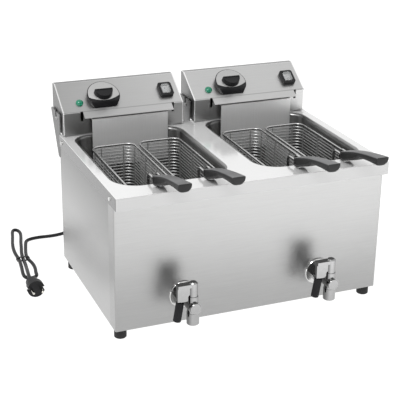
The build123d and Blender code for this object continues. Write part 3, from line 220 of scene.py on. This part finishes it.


# Painted shadow: a dark line on the panels just under the deck skirt's lower edge. On the sides, painted
# shade darkens the panels towards the top.
shadow_line_half_width = 0.0022
shadow_line_tone = 0.45
skirt_shadow_line = (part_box("deck_top")[0].z, shadow_line_half_width, shadow_line_tone)
side_fade = (0.17, 0.285, 0.56)
front_steel = brushed_steel("front_steel", grain=(18, 2600, 2600), dark=(0.325, 0.325, 0.325),
                            light=(0.42, 0.42, 0.417), smooth=0.24, rough=0.40, groove=0.35,
                            shadow_line=skirt_shadow_line)
side_steel = brushed_steel("side_steel", grain=(2600, 18, 2600), dark=(0.37, 0.37, 0.37),
                           light=(0.48, 0.48, 0.477), smooth=0.24, rough=0.40, groove=0.35,
                           shadow_line=skirt_shadow_line, fade=side_fade)
dress(front_steel, "front_panel", "rear_panel", "base_plate")
dress(side_steel, "side_panels")


# Feet
# Moulded black rubber pads with a chamfered sole, pushed into the base plate.
rubber, shader, place = new_material("foot_rubber", 0.0, 0.7, (0.012, 0.012, 0.012))
grain = mottle(place, 900.0, 3.0)
(0.55 + 0.3 * grain).feed(shader, "Roughness")
emboss(shader, grain, 0.2, 0.0004)
dress(rubber, "feet")


# Tanks and drain pipes
# Deep-drawn stainless pans welded flush into the deck; drawing leaves faint upright marks on the walls.
tank_steel = brushed_steel("tank_steel", grain=(900, 900, 14), dark=(0.28, 0.28, 0.28),
                           light=(0.42, 0.42, 0.417), smooth=0.22, rough=0.38, groove=0.25)
dress(tank_steel, "tank_left", "tank_right", "drain_pipes")


# Deck
# One pressed stainless sheet, polished bright, with a skirt folded down all round. The skirt is screwed
# to the panels.
# Painted shade darkens the skirt's upright and sideways faces, and a painted highlight brightens the folds.
deck_steel = brushed_steel("deck_steel", grain=(16, 2200, 2200), dark=(0.79, 0.79, 0.79),
                           light=(0.88, 0.88, 0.875), smooth=0.07, rough=0.13, groove=0.05,
                           metallic=0.35, upright=0.50, sideways=0.36, bend_highlight=1.1)
dress(deck_steel, "deck_top")


# Screws
# Zinc-plated pan-head screws through the skirt and the head brackets.
zinc = brushed_steel("screw_zinc", grain=(700, 700, 700), dark=(0.50, 0.50, 0.50),
                     light=(0.78, 0.78, 0.77), smooth=0.2, rough=0.35, groove=0.3)
dress(zinc, "screws")


# Drain taps
# Chromed brass angle valves on a round wall flange. The lever turns the ball's stem and carries a
# black plastic sleeve as its grip.

def polished_chrome(name, colour, rough, metallic=1.0, upright=1.0, sideways=1.0):
    """Bright plating with a faint haze and slight waves from the polished casting; painted shade can darken
    its upright and sideways faces.
    """
    material, shader, place = new_material(name, metallic, rough, colour)
    haze = mottle(place, 140.0, 3.0)
    dulled = tuple(0.92 * value for value in colour)
    paint(shader, [(0.2, dulled), (0.8, colour)], haze, painted_light_tone(place, upright, sideways, 1.0))
    (rough * 0.6 + rough * 0.8 * haze).feed(shader, "Roughness")
    emboss(shader, haze, 0.03, 0.001)
    return material


# Painted shade darkens the sideways faces of the taps.
tap_chrome = polished_chrome("tap_chrome", (0.40, 0.40, 0.40), rough=0.11, sideways=0.35)
for side in ("left", "right"):
    dress(tap_chrome, f"tap_body_{side}", f"tap_ball_{side}", f"tap_lever_{side}")
flange_chrome = polished_chrome("flange_chrome", (0.66, 0.66, 0.655), rough=0.12)
dress(flange_chrome, "tap_flanges")


def moulded_plastic(name, colour, rough, grain_scale, grain_depth, shine, upright=1.0):
    """Moulded plastic with a fine spark-eroded grain and slightly uneven sheen, with painted shade that
    darkens upright faces.
    """
    material, shader, place = new_material(name, 0.0, rough, colour)
    shader.inputs["Specular IOR Level"].default_value = shine
    pores = mottle(place, grain_scale, 2.0)
    cloud = mottle(place, 25.0, 2.0)
    paler = tuple(value * 1.5 + 0.004 for value in colour)
    paint(shader, [(0.3, colour), (0.8, paler)], cloud, painted_light_tone(place, upright, 1.0, 1.0))
    (rough - 0.1 + 0.2 * cloud).feed(shader, "Roughness")
    emboss(shader, pores, grain_depth, 0.0003)
    return material


grip_black = moulded_plastic("grip_black", (0.008, 0.008, 0.009), rough=0.42, grain_scale=1400.0,
                             grain_depth=0.25, shine=0.16)
dress(grip_black, "tap_grip_left", "tap_grip_right")


# Head brackets
# Bent steel ears screwed to the body's rear; the slot open at the top holds the head's pin.
# Painted shade darkens the brackets' sideways faces.
bracket_steel = brushed_steel("bracket_steel", grain=(2400, 2400, 20), dark=(0.25, 0.25, 0.25),
                              light=(0.36, 0.36, 0.36), smooth=0.26, rough=0.4, groove=0.3,
                              sideways=0.45)
dress(bracket_steel, "head_brackets")


# Control heads
# Folded satin stainless: front, control slope with its visor, top and cheeks in one, a back cover, and
# a guard plate that hangs in front of the element's rods.
# Painted shadow line at the visor's fold; painted highlights on the heads' side edges and folds; painted
# shade on the upright, sideways and top faces and towards the fryer's left end.
fold_over_guard = 0.0085
fold_half_width = 0.0009
fold_shadow_tone = 0.72
visor_fold_shadow = (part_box("guard_plate_left")[1].z + fold_over_guard, fold_half_width, fold_shadow_tone)
head_middle = sum(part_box("head_shell_right"), Vector()).x / 2
half_head = 0.1360
edge_width = 0.0032
edge_highlight_tone = 1.9
left_end_shade_tone = 0.70
head_steel = brushed_steel("head_steel", grain=(20, 2600, 2600), dark=(0.54, 0.54, 0.54),
                           light=(0.68, 0.68, 0.675), smooth=0.26, rough=0.42, groove=0.35,
                           upright=0.74, sideways=0.28, bend_highlight=1.6, level_top=0.55, shadow_line=visor_fold_shadow,
                           cheeks=(head_middle, half_head, edge_width, edge_highlight_tone, left_end_shade_tone))
guard_steel = brushed_steel("guard_steel", grain=(2600, 2600, 18), dark=(0.68, 0.68, 0.68),
                            light=(0.82, 0.82, 0.815), smooth=0.36, rough=0.50, groove=0.35,
                            metallic=0.5)
for side in ("left", "right"):
    dress(head_steel, f"head_shell_{side}", f"head_back_{side}")
    dress(guard_steel, f"guard_plate_{side}")


# Heating elements and thermostats
# Sheathed heating rods and the thermostat's bulb, straw-coloured and dulled by heat. They hang from the
# head into the tank.
rod_steel = brushed_steel("rod_steel", grain=(60, 60, 60), dark=(0.22, 0.20, 0.18),
                          light=(0.38, 0.36, 0.33), smooth=0.3, rough=0.5, groove=0.2)
for side in ("left", "right"):
    dress(rod_steel, f"heating_element_{side}", f"thermostat_{side}")


# Signal lamps
# Emerald moulded lens, clear and glossy, on a stem through the panel.
lens, shader, place = new_material("lamp_lens", 0.0, 0.05, (0.0, 0.26, 0.14))
facet = place.node("TexVoronoi", {}, {"Vector": place, "Scale": 520.0}, "Distance")
lens_greens = [(0.0, (0.0, 0.30, 0.17)), (0.6, (0.0, 0.13, 0.07))]
facet.node("ValToRGB", {"stops": lens_greens}, {"Fac": facet}).feed(shader, "Base Color")
(0.05 + 0.12 * facet).feed(shader, "Roughness")
shader.inputs["Coat Weight"].default_value = 0.5
shader.inputs["Emission Color"].default_value = (0.0, 0.30, 0.16, 1.0)
shader.inputs["Emission Strength"].default_value = 0.12
dress(lens, "lamp_left", "lamp_right")


# Power switches
# Black frame and grey rocker under a clear silicone hood that keeps oil out. The rocker's two ends carry
# the usual on and off signs, a bar and a ring, as thin raised marks.

def start_piece(name):
    """Name the object that was just added and leave its mesh at the origin, unturned and unscaled."""
    bpy.ops.object.transform_apply(location=True, rotation=True, scale=True)
    piece = bpy.context.object
    piece.name = name
    piece.data.name = name
    return piece


def round_edges(piece, width, segments, angle):
    """Bevel the sharp edges and shade the rest smooth."""
    bevel = piece.modifiers.new("edges", "BEVEL")
    bevel.width = width
    bevel.segments = segments
    bevel.angle_limit = math.radians(angle)
    bpy.context.view_layer.objects.active = piece
    bpy.ops.object.modifier_apply(modifier=bevel.name)
    bpy.ops.object.shade_smooth_by_angle(angle=math.radians(35))


def copy_piece(piece, name, matrix):
    """A copy with its own mesh, moved by a matrix."""
    other = piece.copy()
    other.data = piece.data.copy()
    other.name = name
    other.data.name = name
    other.data.transform(matrix)
    bpy.context.scene.collection.objects.link(other)
    return other


def panel_place(at, knob):
    """A joint's place on its control slope: X across, Y up the slope, Z along the knob's axis."""
    joints = {joint["name"]: joint for joint in frame["joints"]}
    out = Vector(joints[knob]["axis"]).normalized()
    across = Vector((1, 0, 0))
    turn = Matrix((across, out.cross(across), out)).transposed().to_4x4()
    return Matrix.Translation(Vector(joints[at]["pos_m"])) @ turn


switch_black = moulded_plastic("switch_black", (0.010, 0.010, 0.011), rough=0.35, grain_scale=1600.0,
                               grain_depth=0.2, shine=0.25)
rocker_grey = moulded_plastic("rocker_grey", (0.40, 0.40, 0.405), rough=0.4, grain_scale=1600.0,
                              grain_depth=0.15, shine=0.5)
hood, shader, place = new_material("hood_silicone", 0.0, 0.15, (0.78, 0.80, 0.80))
film = mottle(place, 220.0, 3.0)
(0.12 + 0.10 * film).feed(shader, "Roughness")
(0.15 + 0.05 * film).feed(shader, "Alpha")
for side in ("left", "right"):
    dress(switch_black, f"switch_frame_{side}")
    dress(rocker_grey, f"rocker_{side}")
    dress(hood, f"switch_cover_{side}")

rocker_tilt = math.radians(9.0)
dish_depth = 0.0014
rocker_half = 0.0115
rocker_dish = math.atan(dish_depth / rocker_half)
sign_out = 0.0065
sign_height = 0.0029
sign_thick = 0.0006
ring_radius = 0.0020
ring_line = 0.0005
bar_width = 0.0008
bar_length = 0.0044
bpy.ops.object.select_all(action="DESELECT")
bpy.ops.mesh.primitive_torus_add(major_radius=ring_radius, minor_radius=ring_line, major_segments=32,
                                 minor_segments=8, location=(0, -sign_out, sign_height),
                                 rotation=(-rocker_dish, 0, 0))
off_sign = start_piece("off_sign")
bpy.ops.object.shade_smooth()
bpy.ops.object.select_all(action="DESELECT")
bpy.ops.mesh.primitive_cube_add(size=1, location=(0, sign_out, sign_height), rotation=(rocker_dish, 0, 0))
bpy.context.object.scale = (bar_width, bar_length, sign_thick)
signs = start_piece("rocker_signs_left")
round_edges(signs, width=0.0002, segments=2, angle=35)
off_sign.select_set(True)
bpy.ops.object.join()
sign_ink = moulded_plastic("sign_ink", (0.015, 0.015, 0.016), rough=0.45, grain_scale=1600.0,
                           grain_depth=0.05, shine=0.3)
signs.data.materials.append(sign_ink)
signs.data.transform(Matrix.Rotation(rocker_tilt, 4, "X"))
other_signs = copy_piece(signs, "rocker_signs_right", panel_place("rocker_tip_right", "knob_turn_right"))
signs.data.transform(panel_place("rocker_tip_left", "knob_turn_left"))
for side, piece in (("left", signs), ("right", other_signs)):
    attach(piece, f"power_rocker_{side}")


# Thermostat knobs
# A black skirt with one slanted facet, a silver face with a curved lower edge and a D-shaped black grip,
# pushed as one onto the thermostat's shaft.

def cut_away(place, outward):
    """Cut off what lies on the outward side of a plane and close the cut."""
    bpy.ops.object.mode_set(mode="EDIT")
    bpy.ops.mesh.select_all(action="SELECT")
    facing = Vector(outward).normalized()
    bpy.ops.mesh.bisect(plane_co=place, plane_no=facing, use_fill=True, clear_outer=True)
    bpy.ops.object.mode_set(mode="OBJECT")


knob_foot_radius = 0.0350
knob_top_radius = 0.0359
knob_low = 0.0008
knob_top = 0.0128
facet_top = -0.0180
facet_foot = -0.0260
bpy.ops.object.select_all(action="DESELECT")
bpy.ops.mesh.primitive_cone_add(vertices=96, radius1=knob_foot_radius, radius2=knob_top_radius,
                                depth=knob_top - knob_low, location=(0, 0, (knob_top + knob_low) / 2))
knob_skirt = start_piece("knob_skirt_left")
cut_away((0, facet_top, knob_top), (0, knob_low - knob_top, facet_top - facet_foot))
round_edges(knob_skirt, width=0.0007, segments=3, angle=35)

silver_radius = 0.0342
face_thick = 0.0010
face_over = 0.0001
border_radius = 0.0570
border_up = 0.0405
border_deep = 0.01
bpy.ops.object.select_all(action="DESELECT")
bpy.ops.mesh.primitive_cylinder_add(vertices=128, radius=border_radius, depth=border_deep,
                                    location=(0, border_up, knob_top))
border = start_piece("knob_border")
bpy.ops.object.select_all(action="DESELECT")
bpy.ops.mesh.primitive_cylinder_add(vertices=96, radius=silver_radius, depth=face_thick,
                                    location=(0, 0, knob_top + face_over))
knob_face = start_piece("knob_face_left")
meet = knob_face.modifiers.new("border", "BOOLEAN")
meet.operation = "INTERSECT"
meet.object = border
bpy.ops.object.modifier_apply(modifier=meet.name)
bpy.data.objects.remove(border)
round_edges(knob_face, width=0.0002, segments=2, angle=40)

grip_radius = 0.0208
grip_taper = 0.94
grip_up = 0.0050
grip_back = 0.0065
grip_height = 0.0118
grip_border = 0.0022
grip_hollow = 0.0012
bpy.ops.object.select_all(action="DESELECT")
bpy.ops.mesh.primitive_cone_add(vertices=96, radius1=grip_radius, radius2=grip_radius * grip_taper,
                                depth=grip_height, location=(0, grip_up, knob_top + grip_height / 2))
knob_grip = start_piece("knob_grip_left")
cut_away((0, grip_back, 0), (0, 1, 0))
bpy.ops.object.mode_set(mode="EDIT")
bpy.ops.mesh.select_mode(type="FACE")
bpy.ops.mesh.select_all(action="DESELECT")
mesh = bmesh.from_edit_mesh(knob_grip.data)
for face in mesh.faces:
    face.select_set(face.normal.z > 0.9)
bmesh.update_edit_mesh(knob_grip.data)
bpy.ops.mesh.inset(thickness=grip_border, depth=0)
bpy.ops.mesh.extrude_region_move(TRANSFORM_OT_translate={"value": (0, 0, -grip_hollow)})
bpy.ops.object.mode_set(mode="OBJECT")
round_edges(knob_grip, width=0.0006, segments=3, angle=35)

knob_black = moulded_plastic("knob_black", (0.008, 0.008, 0.009), rough=0.32, grain_scale=1500.0,
                             grain_depth=0.15, shine=0.25)
dial_silver = brushed_steel("dial_silver", grain=(900, 30, 900), dark=(0.50, 0.50, 0.50),
                            light=(0.62, 0.62, 0.615), smooth=0.26, rough=0.36, groove=0.2)
left_place = panel_place("knob_turn_left", "knob_turn_left")
right_place = panel_place("knob_turn_right", "knob_turn_right")
for piece, finish in ((knob_skirt, knob_black), (knob_face, dial_silver), (knob_grip, knob_black)):
    piece.data.materials.append(finish)
    right = copy_piece(piece, piece.name.replace("left", "right"), right_place)
    piece.data.transform(left_place)
    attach(piece, "thermostat_knob_left")
    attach(right, "thermostat_knob_right")
    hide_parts("knob_left")
    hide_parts("knob_right")


# Cord, strain reliefs and plug
# A round charcoal mains lead leaves the left head's gland, drops behind the body, and lies on the floor
# in a tied hank whose free end carries the plug.

# Places along the fryer's depth are measured from the skirt's front, this far before the frame's origin
front_to_middle = 0.194636
cord_radius = 0.0040
cord_lie = 0.0052
gland_x, gland_end, gland_z = -0.205, 0.490571, 0.339
plug_x, plug_tail, plug_height = -0.386, 0.309, 0.0185
drop = [
    (0.000, 0.000, gland_z), (0.000, 0.024, gland_z), (-0.001, 0.046, gland_z - 0.020),
    (-0.003, 0.057, gland_z - 0.050), (-0.002, 0.060, gland_z - 0.105), (-0.004, 0.057, gland_z - 0.170),
    (-0.006, 0.059, gland_z - 0.230), (-0.008, 0.061, 0.062), (-0.015, 0.060, 0.028), (-0.035, 0.058, 0.008),
]
on_floor = [
    (-0.2740, 0.5475), (-0.3060, 0.5510), (-0.3280, 0.5490), (-0.3410, 0.5410), (-0.3460, 0.5260),
    (-0.3495, 0.5110), (-0.3530, 0.4970), (-0.3585, 0.4720), (-0.3620, 0.4470), (-0.3560, 0.4150),
    (-0.3570, 0.3870), (-0.3610, 0.3690), (-0.3620, 0.3520), (-0.3702, 0.3440), (-0.3808, 0.3440),
    (-0.3890, 0.3520), (-0.3895, 0.3690), (-0.3860, 0.3920), (-0.3825, 0.4200), (-0.3800, 0.4470),
    (-0.3815, 0.4780), (-0.3795, 0.5080), (-0.3745, 0.5380), (-0.3680, 0.5650), (-0.3630, 0.5880),
    (-0.3605, 0.6010), (-0.3560, 0.6120), (-0.3490, 0.6125), (-0.3440, 0.6015), (-0.3435, 0.5870),
    (-0.3485, 0.5620), (-0.3550, 0.5360), (-0.3605, 0.5080), (-0.3675, 0.4770), (-0.3710, 0.4470),
]
to_plug = [
    (-0.373, 0.416, cord_lie + 0.001), (-0.377, 0.388, cord_lie + 0.005),
    (-0.381, 0.363, plug_height - 0.002), (-0.384, 0.341, plug_height),
    (plug_x, 0.325, plug_height), (plug_x, plug_tail, plug_height),
]
route = [(gland_x + x, gland_end + y, z) for x, y, z in drop]
route += [(x, y, cord_lie) for x, y in on_floor] + to_plug
curve = bpy.data.curves.new("mains_cord", "CURVE")
curve.dimensions = "3D"
curve.resolution_u = 8
spline = curve.splines.new("NURBS")
spline.points.add(len(route) - 1)
for point, (x, y, z) in zip(spline.points, route):
    point.co = (x, y - front_to_middle, z, 1.0)
spline.order_u = 3
spline.use_endpoint_u = True
cord_line = bpy.data.objects.new("cord_line", curve)
bpy.context.scene.collection.objects.link(cord_line)
bpy.context.view_layer.update()
line_mesh = bpy.data.meshes.new_from_object(cord_line)
curve.bevel_depth = cord_radius
curve.bevel_resolution = 3
curve.use_fill_caps = True
bpy.context.view_layer.update()
cord = bpy.data.objects.new("mains_cord", bpy.data.meshes.new_from_object(cord_line))
bpy.context.scene.collection.objects.link(cord)
bpy.data.objects.remove(cord_line)
bpy.ops.object.select_all(action="DESELECT")
bpy.context.view_layer.objects.active = cord
cord.select_set(True)
bpy.ops.object.shade_smooth_by_angle(angle=math.radians(50))
cord_black = moulded_plastic("cord_black", (0.010, 0.010, 0.011), rough=0.36, grain_scale=900.0,
                             grain_depth=0.2, shine=0.22)
cord.data.materials.clear()
cord.data.materials.append(cord_black)
dress(cord_black, "cord_gland_left", "cord_gland_right", "cord_tie", "plug_body")
pin_nickel = polished_chrome("pin_nickel", (0.78, 0.76, 0.70), rough=0.14)
dress(pin_nickel, "plug_pins")
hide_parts("cord_run", "cord_hank")
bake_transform(cord)


# Baskets
# Chromed wire: closely stacked hoops, a few upright stays, a crossed floor, a thick rim, and a moulded
# charcoal handle pressed onto the two bracket wires.

def wire_from_edges(radius):
    """Turn the active object's edges into round wire."""
    bpy.ops.object.convert(target="CURVE")
    bpy.context.object.data.bevel_depth = radius
    bpy.context.object.data.bevel_resolution = 1
    bpy.context.object.data.resolution_u = 1
    bpy.ops.object.convert(target="MESH")
    return bpy.context.object


def repeat(piece, count, step):
    """Stack copies of a piece at an even spacing."""
    array = piece.modifiers.new("row", "ARRAY")
    array.count = count
    array.use_relative_offset = False
    array.use_constant_offset = True
    array.constant_offset_displace = step
    bpy.context.view_layer.objects.active = piece
    bpy.ops.object.modifier_apply(modifier=array.name)


wire = 0.0014
low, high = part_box("basket_net_1")
middle = (low + high) / 2
size = high - low
hoop_corner = 0.0165
hoop_gap = 0.0069
bpy.ops.object.select_all(action="DESELECT")
bpy.ops.mesh.primitive_plane_add(size=1, location=(middle.x, middle.y, low.z + wire))
bpy.context.object.scale = (size.x - 2 * wire, size.y - 2 * wire, 1)
start_piece("basket_hoops")
bpy.ops.object.mode_set(mode="EDIT")
bpy.ops.mesh.select_all(action="SELECT")
bpy.ops.mesh.bevel(offset=hoop_corner, segments=5, affect="VERTICES")
bpy.ops.mesh.select_all(action="SELECT")
bpy.ops.mesh.delete(type="ONLY_FACE")
bpy.ops.object.mode_set(mode="OBJECT")
hoops = wire_from_edges(wire)
hoop_count = int((size.z - 2 * wire) / hoop_gap) + 1
repeat(hoops, hoop_count, (0, 0, hoop_gap))

stay_bend = 0.008


def stay_row(name, turn, span, count, step, start):
    """Upright wires bent under the floor: down one wall, across and up the other."""
    bpy.ops.object.select_all(action="DESELECT")
    bpy.ops.mesh.primitive_plane_add(size=1, rotation=(math.radians(90), 0, turn), location=start)
    bpy.context.object.scale = (span - 4 * wire, size.z - 2 * wire, 1)
    stays = start_piece(name)
    bpy.ops.object.mode_set(mode="EDIT")
    bpy.ops.mesh.select_all(action="DESELECT")
    bpy.ops.mesh.select_mode(type="EDGE")
    mesh = bmesh.from_edit_mesh(stays.data)
    for edge in mesh.edges:
        edge.select_set(min(vert.co.z for vert in edge.verts) > middle.z)
    bmesh.update_edit_mesh(stays.data)
    bpy.ops.mesh.delete(type="EDGE_FACE")
    bpy.ops.mesh.select_mode(type="VERT")
    mesh = bmesh.from_edit_mesh(stays.data)
    for vert in mesh.verts:
        vert.select_set(vert.co.z < middle.z)
    bmesh.update_edit_mesh(stays.data)
    bpy.ops.mesh.bevel(offset=stay_bend, segments=3, affect="VERTICES")
    bpy.ops.object.mode_set(mode="OBJECT")
    stays = wire_from_edges(wire)
    repeat(stays, count, step)
    return stays


cross_count = 4
cross_inset = 0.020
cross_step = (size.y - 2 * cross_inset) / (cross_count - 1)
cross = stay_row("basket_cross", 0, size.x, cross_count, (0, cross_step, 0),
                 (middle.x, low.y + cross_inset, middle.z))
long_count = 2
long_inset = 0.022
long_step = (size.x - 2 * long_inset) / (long_count - 1)
lengthwise = stay_row("basket_long", math.radians(90), size.y, long_count, (long_step, 0, 0),
                      (low.x + long_inset, middle.y, middle.z))
floor_count = 9
floor_inset = 0.006
floor_step = (size.x - 2 * floor_inset) / (floor_count - 1)
bpy.ops.object.select_all(action="DESELECT")
bpy.ops.mesh.primitive_cylinder_add(vertices=8, radius=wire, depth=size.y - 2 * floor_inset,
                                    rotation=(math.radians(90), 0, 0),
                                    location=(low.x + floor_inset, middle.y, low.z + wire))
floor_wires = start_piece("basket_floor")
repeat(floor_wires, floor_count, (floor_step, 0, 0))
bpy.ops.object.select_all(action="DESELECT")
for piece in (hoops, cross, lengthwise, floor_wires):
    piece.select_set(True)
bpy.context.view_layer.objects.active = hoops
bpy.ops.object.join()
bpy.ops.object.shade_smooth_by_angle(angle=math.radians(50))
net = bpy.context.object
net.name = "basket_wires_1"
net.data.name = net.name
net.data.materials.clear()
basket_chrome = polished_chrome("basket_chrome", (0.46, 0.46, 0.457), rough=0.44, metallic=0.8)
net.data.materials.append(basket_chrome)
# Painted shade darkens the rim's upright and sideways faces.
rim_chrome = polished_chrome("rim_chrome", (0.74, 0.74, 0.735), rough=0.28, upright=0.42, sideways=0.42)

# Handle, as rings along its length: top edge, underside (each as place from the skirt and height over the
# deck), width, and rounding of the lower edges
deck_height = 0.309
handle_rings = [
    ((0.0430, 0.0192), (0.0400, 0.0030), 0.0224, 0.0010),
    ((0.0330, 0.0225), (0.0290, 0.0035), 0.0225, 0.0010),
    ((0.0200, 0.0268), (0.0170, 0.0080), 0.0226, 0.0012),
    ((0.0000, 0.0333), (-0.0020, 0.0150), 0.0226, 0.0020),
    ((-0.0150, 0.0375), (-0.0180, 0.0210), 0.0226, 0.0030),
    ((-0.0300, 0.0410), (-0.0300, 0.0305), 0.0228, 0.0040),
    ((-0.0480, 0.0446), (-0.0480, 0.0324), 0.0234, 0.0045),
    ((-0.0660, 0.0480), (-0.0660, 0.0338), 0.0242, 0.0070),
    ((-0.0820, 0.0506), (-0.0820, 0.0342), 0.0250, 0.0085),
    ((-0.0920, 0.0522), (-0.0920, 0.0346), 0.0256, 0.0095),
    ((-0.0965, 0.0529), (-0.0965, 0.0358), 0.0258, 0.0095),
    ((-0.0996, 0.0533), (-0.0996, 0.0392), 0.0258, 0.0085),
    ((-0.1010, 0.0535), (-0.1010, 0.0445), 0.0256, 0.0060),
]
round_steps = 5
shoulder = 0.0020
shoulder_steps = 3
ring_size = 2 * (shoulder_steps + round_steps + 2)
handle_x = sum(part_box("basket_handle_1"), Vector()).x / 2


def ring_places(top, under, width, rounding):
    """One ring's points, from the top left shoulder down, under and up to the top right shoulder."""
    tall = top[1] - under[1]
    half = []
    for step in range(shoulder_steps + 1):
        angle = math.radians(90 * step / shoulder_steps)
        inward = shoulder * (1 - math.sin(angle))
        half.append((width / 2 - inward, 1 - shoulder * (1 - math.cos(angle)) / tall))
    for step in range(round_steps + 1):
        angle = math.radians(90 * step / round_steps)
        half.append((width / 2 - rounding * (1 - math.cos(angle)), rounding * (1 - math.sin(angle)) / tall))
    points = [(-side, share) for side, share in half] + [(side, share) for side, share in reversed(half)]
    return [(handle_x + side, under[0] + share * (top[0] - under[0]) - front_to_middle,
             deck_height + under[1] + share * tall) for side, share in points]


bpy.ops.object.select_all(action="DESELECT")
bpy.ops.mesh.primitive_circle_add(vertices=ring_size, radius=0.01, fill_type="NGON")
handle = start_piece("basket_grip_1")
bpy.ops.object.mode_set(mode="EDIT")
bpy.ops.mesh.select_all(action="SELECT")
for index, ring in enumerate(handle_rings):
    if index:
        bpy.ops.mesh.extrude_region_move()
    mesh = bmesh.from_edit_mesh(handle.data)
    end_face = next(face for face in mesh.faces if face.select)
    for vert, spot in zip([loop.vert for loop in end_face.loops], ring_places(*ring)):
        vert.co = spot
    bmesh.update_edit_mesh(handle.data)
bpy.ops.mesh.select_all(action="SELECT")
bpy.ops.mesh.normals_make_consistent(inside=False)
pocket_front = -0.028 - front_to_middle
pocket_border = 0.0022
pocket_depth = 0.0007
smallest_side_face = 0.00004
for side in (-1, 1):
    bpy.ops.mesh.select_mode(type="FACE")
    bpy.ops.mesh.select_all(action="DESELECT")
    mesh = bmesh.from_edit_mesh(handle.data)
    for face in mesh.faces:
        block_side = face.normal.x * side > 0.99 and face.calc_center_median().y > pocket_front
        face.select_set(block_side and face.calc_area() > smallest_side_face)
    bmesh.update_edit_mesh(handle.data)
    bpy.ops.mesh.inset(thickness=pocket_border, depth=0)
    bpy.ops.mesh.extrude_region_move(TRANSFORM_OT_translate={"value": (-side * pocket_depth, 0, 0)})
    mesh = bmesh.from_edit_mesh(handle.data)
    for face in mesh.faces:
        if face.select:
            face.material_index = 1
    bmesh.update_edit_mesh(handle.data)
bpy.ops.object.mode_set(mode="OBJECT")
round_edges(handle, width=0.0006, segments=2, angle=45)
# Painted shade darkens the grip's upright sides and leaves its top lighter.
handle_charcoal = moulded_plastic("handle_charcoal", (0.125, 0.125, 0.127), rough=0.44, grain_scale=1100.0,
                                  grain_depth=0.22, shine=0.14, upright=0.16)
# The inset sides of the grip's root block are painted near black as painted shade of the block set back
# under the grip's top.
pocket_painted_shade = moulded_plastic("pocket_painted_shade", (0.012, 0.012, 0.012), rough=0.5, grain_scale=1100.0,
                               grain_depth=0.22, shine=0.14)
handle.data.materials.append(handle_charcoal)
handle.data.materials.append(pocket_painted_shade)

for number in (1, 2, 3, 4):
    dress(rim_chrome, f"basket_frame_{number}")
    shift = Matrix.Translation((sum(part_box(f"basket_handle_{number}"), Vector()).x / 2 - handle_x, 0, 0))
    basket_net = net if number == 1 else copy_piece(net, f"basket_wires_{number}", shift)
    basket_grip = handle if number == 1 else copy_piece(handle, f"basket_grip_{number}", shift)
    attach(basket_net, f"basket_{number}")
    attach(basket_grip, f"basket_{number}")
    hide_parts(f"basket_net_{number}")
    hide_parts(f"basket_handle_{number}")


# Studio
# A pale floor, a surround that is white behind the fryer and dark behind the camera, one soft light from
# the upper left, and the camera at the photograph's place.
floor_size = 48
# Painted shade on the floor: its glow is dimmer under and near the fryer and towards the left, and full
# further in front and to the right.
floor_shade_tone = 0.49
floor_left_shade_tone = 0.80
bpy.ops.object.select_all(action="DESELECT")
bpy.ops.mesh.primitive_plane_add(size=floor_size, location=(0, 0, 0))
floor = start_piece("floor")
floor_white, shader, place = new_material("floor_white", 0.0, 0.9, (0.10, 0.10, 0.10))
towards_front = passage(part(place, "Y"), -0.22, -0.75, floor_shade_tone, 1.0, "SMOOTHSTEP")
towards_right = passage(part(place, "X"), -0.35, 0.35, floor_left_shade_tone, 1.0, "SMOOTHSTEP")
place.maths("MAXIMUM", towards_front * towards_right, floor_shade_tone).feed(shader, "Emission Color")
shader.inputs["Emission Strength"].default_value = 2.1
floor.data.materials.append(floor_white)

world = bpy.data.worlds.new("surround")
bpy.context.scene.world = world
world.use_nodes = True
background = world.node_tree.nodes["Background"]
direction = Shade(world.node_tree).node("TexCoord", {}, {}, "Generated")
facing = 0.5 + 0.4 * part(direction, "Y") + 0.3 * part(direction, "Z")
tones = [(0.15, (0.10, 0.10, 0.10)), (0.30, (0.24, 0.24, 0.24)), (0.55, (0.90, 0.90, 0.90)),
         (1.0, (0.88, 0.88, 0.88))]
facing.node("ValToRGB", {"stops": tones}, {"Fac": facing}).feed(background, "Color")
background.inputs["Strength"].default_value = 1.0

light_place = Vector((-1.4, -1.6, 2.6))
light_target = Vector((0, 0, 0.2))
lamp = bpy.data.lights.new("key_light", "AREA")
lamp.shape = "RECTANGLE"
lamp.size = 1.6
lamp.size_y = 1.2
lamp.energy = 52.0
key_light = bpy.data.objects.new("key_light", lamp)
key_light.location = light_place
key_light.rotation_euler = (light_target - light_place).to_track_quat("-Z", "Y").to_euler()
bpy.context.scene.collection.objects.link(key_light)

camera = bpy.data.objects.new("camera", bpy.data.cameras.new("camera"))
camera.data.sensor_width = 36.0
camera.data.lens = 97.17
camera_place = Matrix.Translation((-0.8410, -1.7546 - front_to_middle, 1.0520))
ahead = Vector((0.3512, 0.8577, -0.3755)).normalized()
across = Vector((0.9272, -0.3743, 0.0123)).normalized()
over = across.cross(ahead)
camera.matrix_world = camera_place @ Matrix((across, over, -ahead)).transposed().to_4x4()
bpy.context.scene.collection.objects.link(camera)
bpy.context.scene.camera = camera
bpy.context.scene.view_settings.view_transform = "Standard"
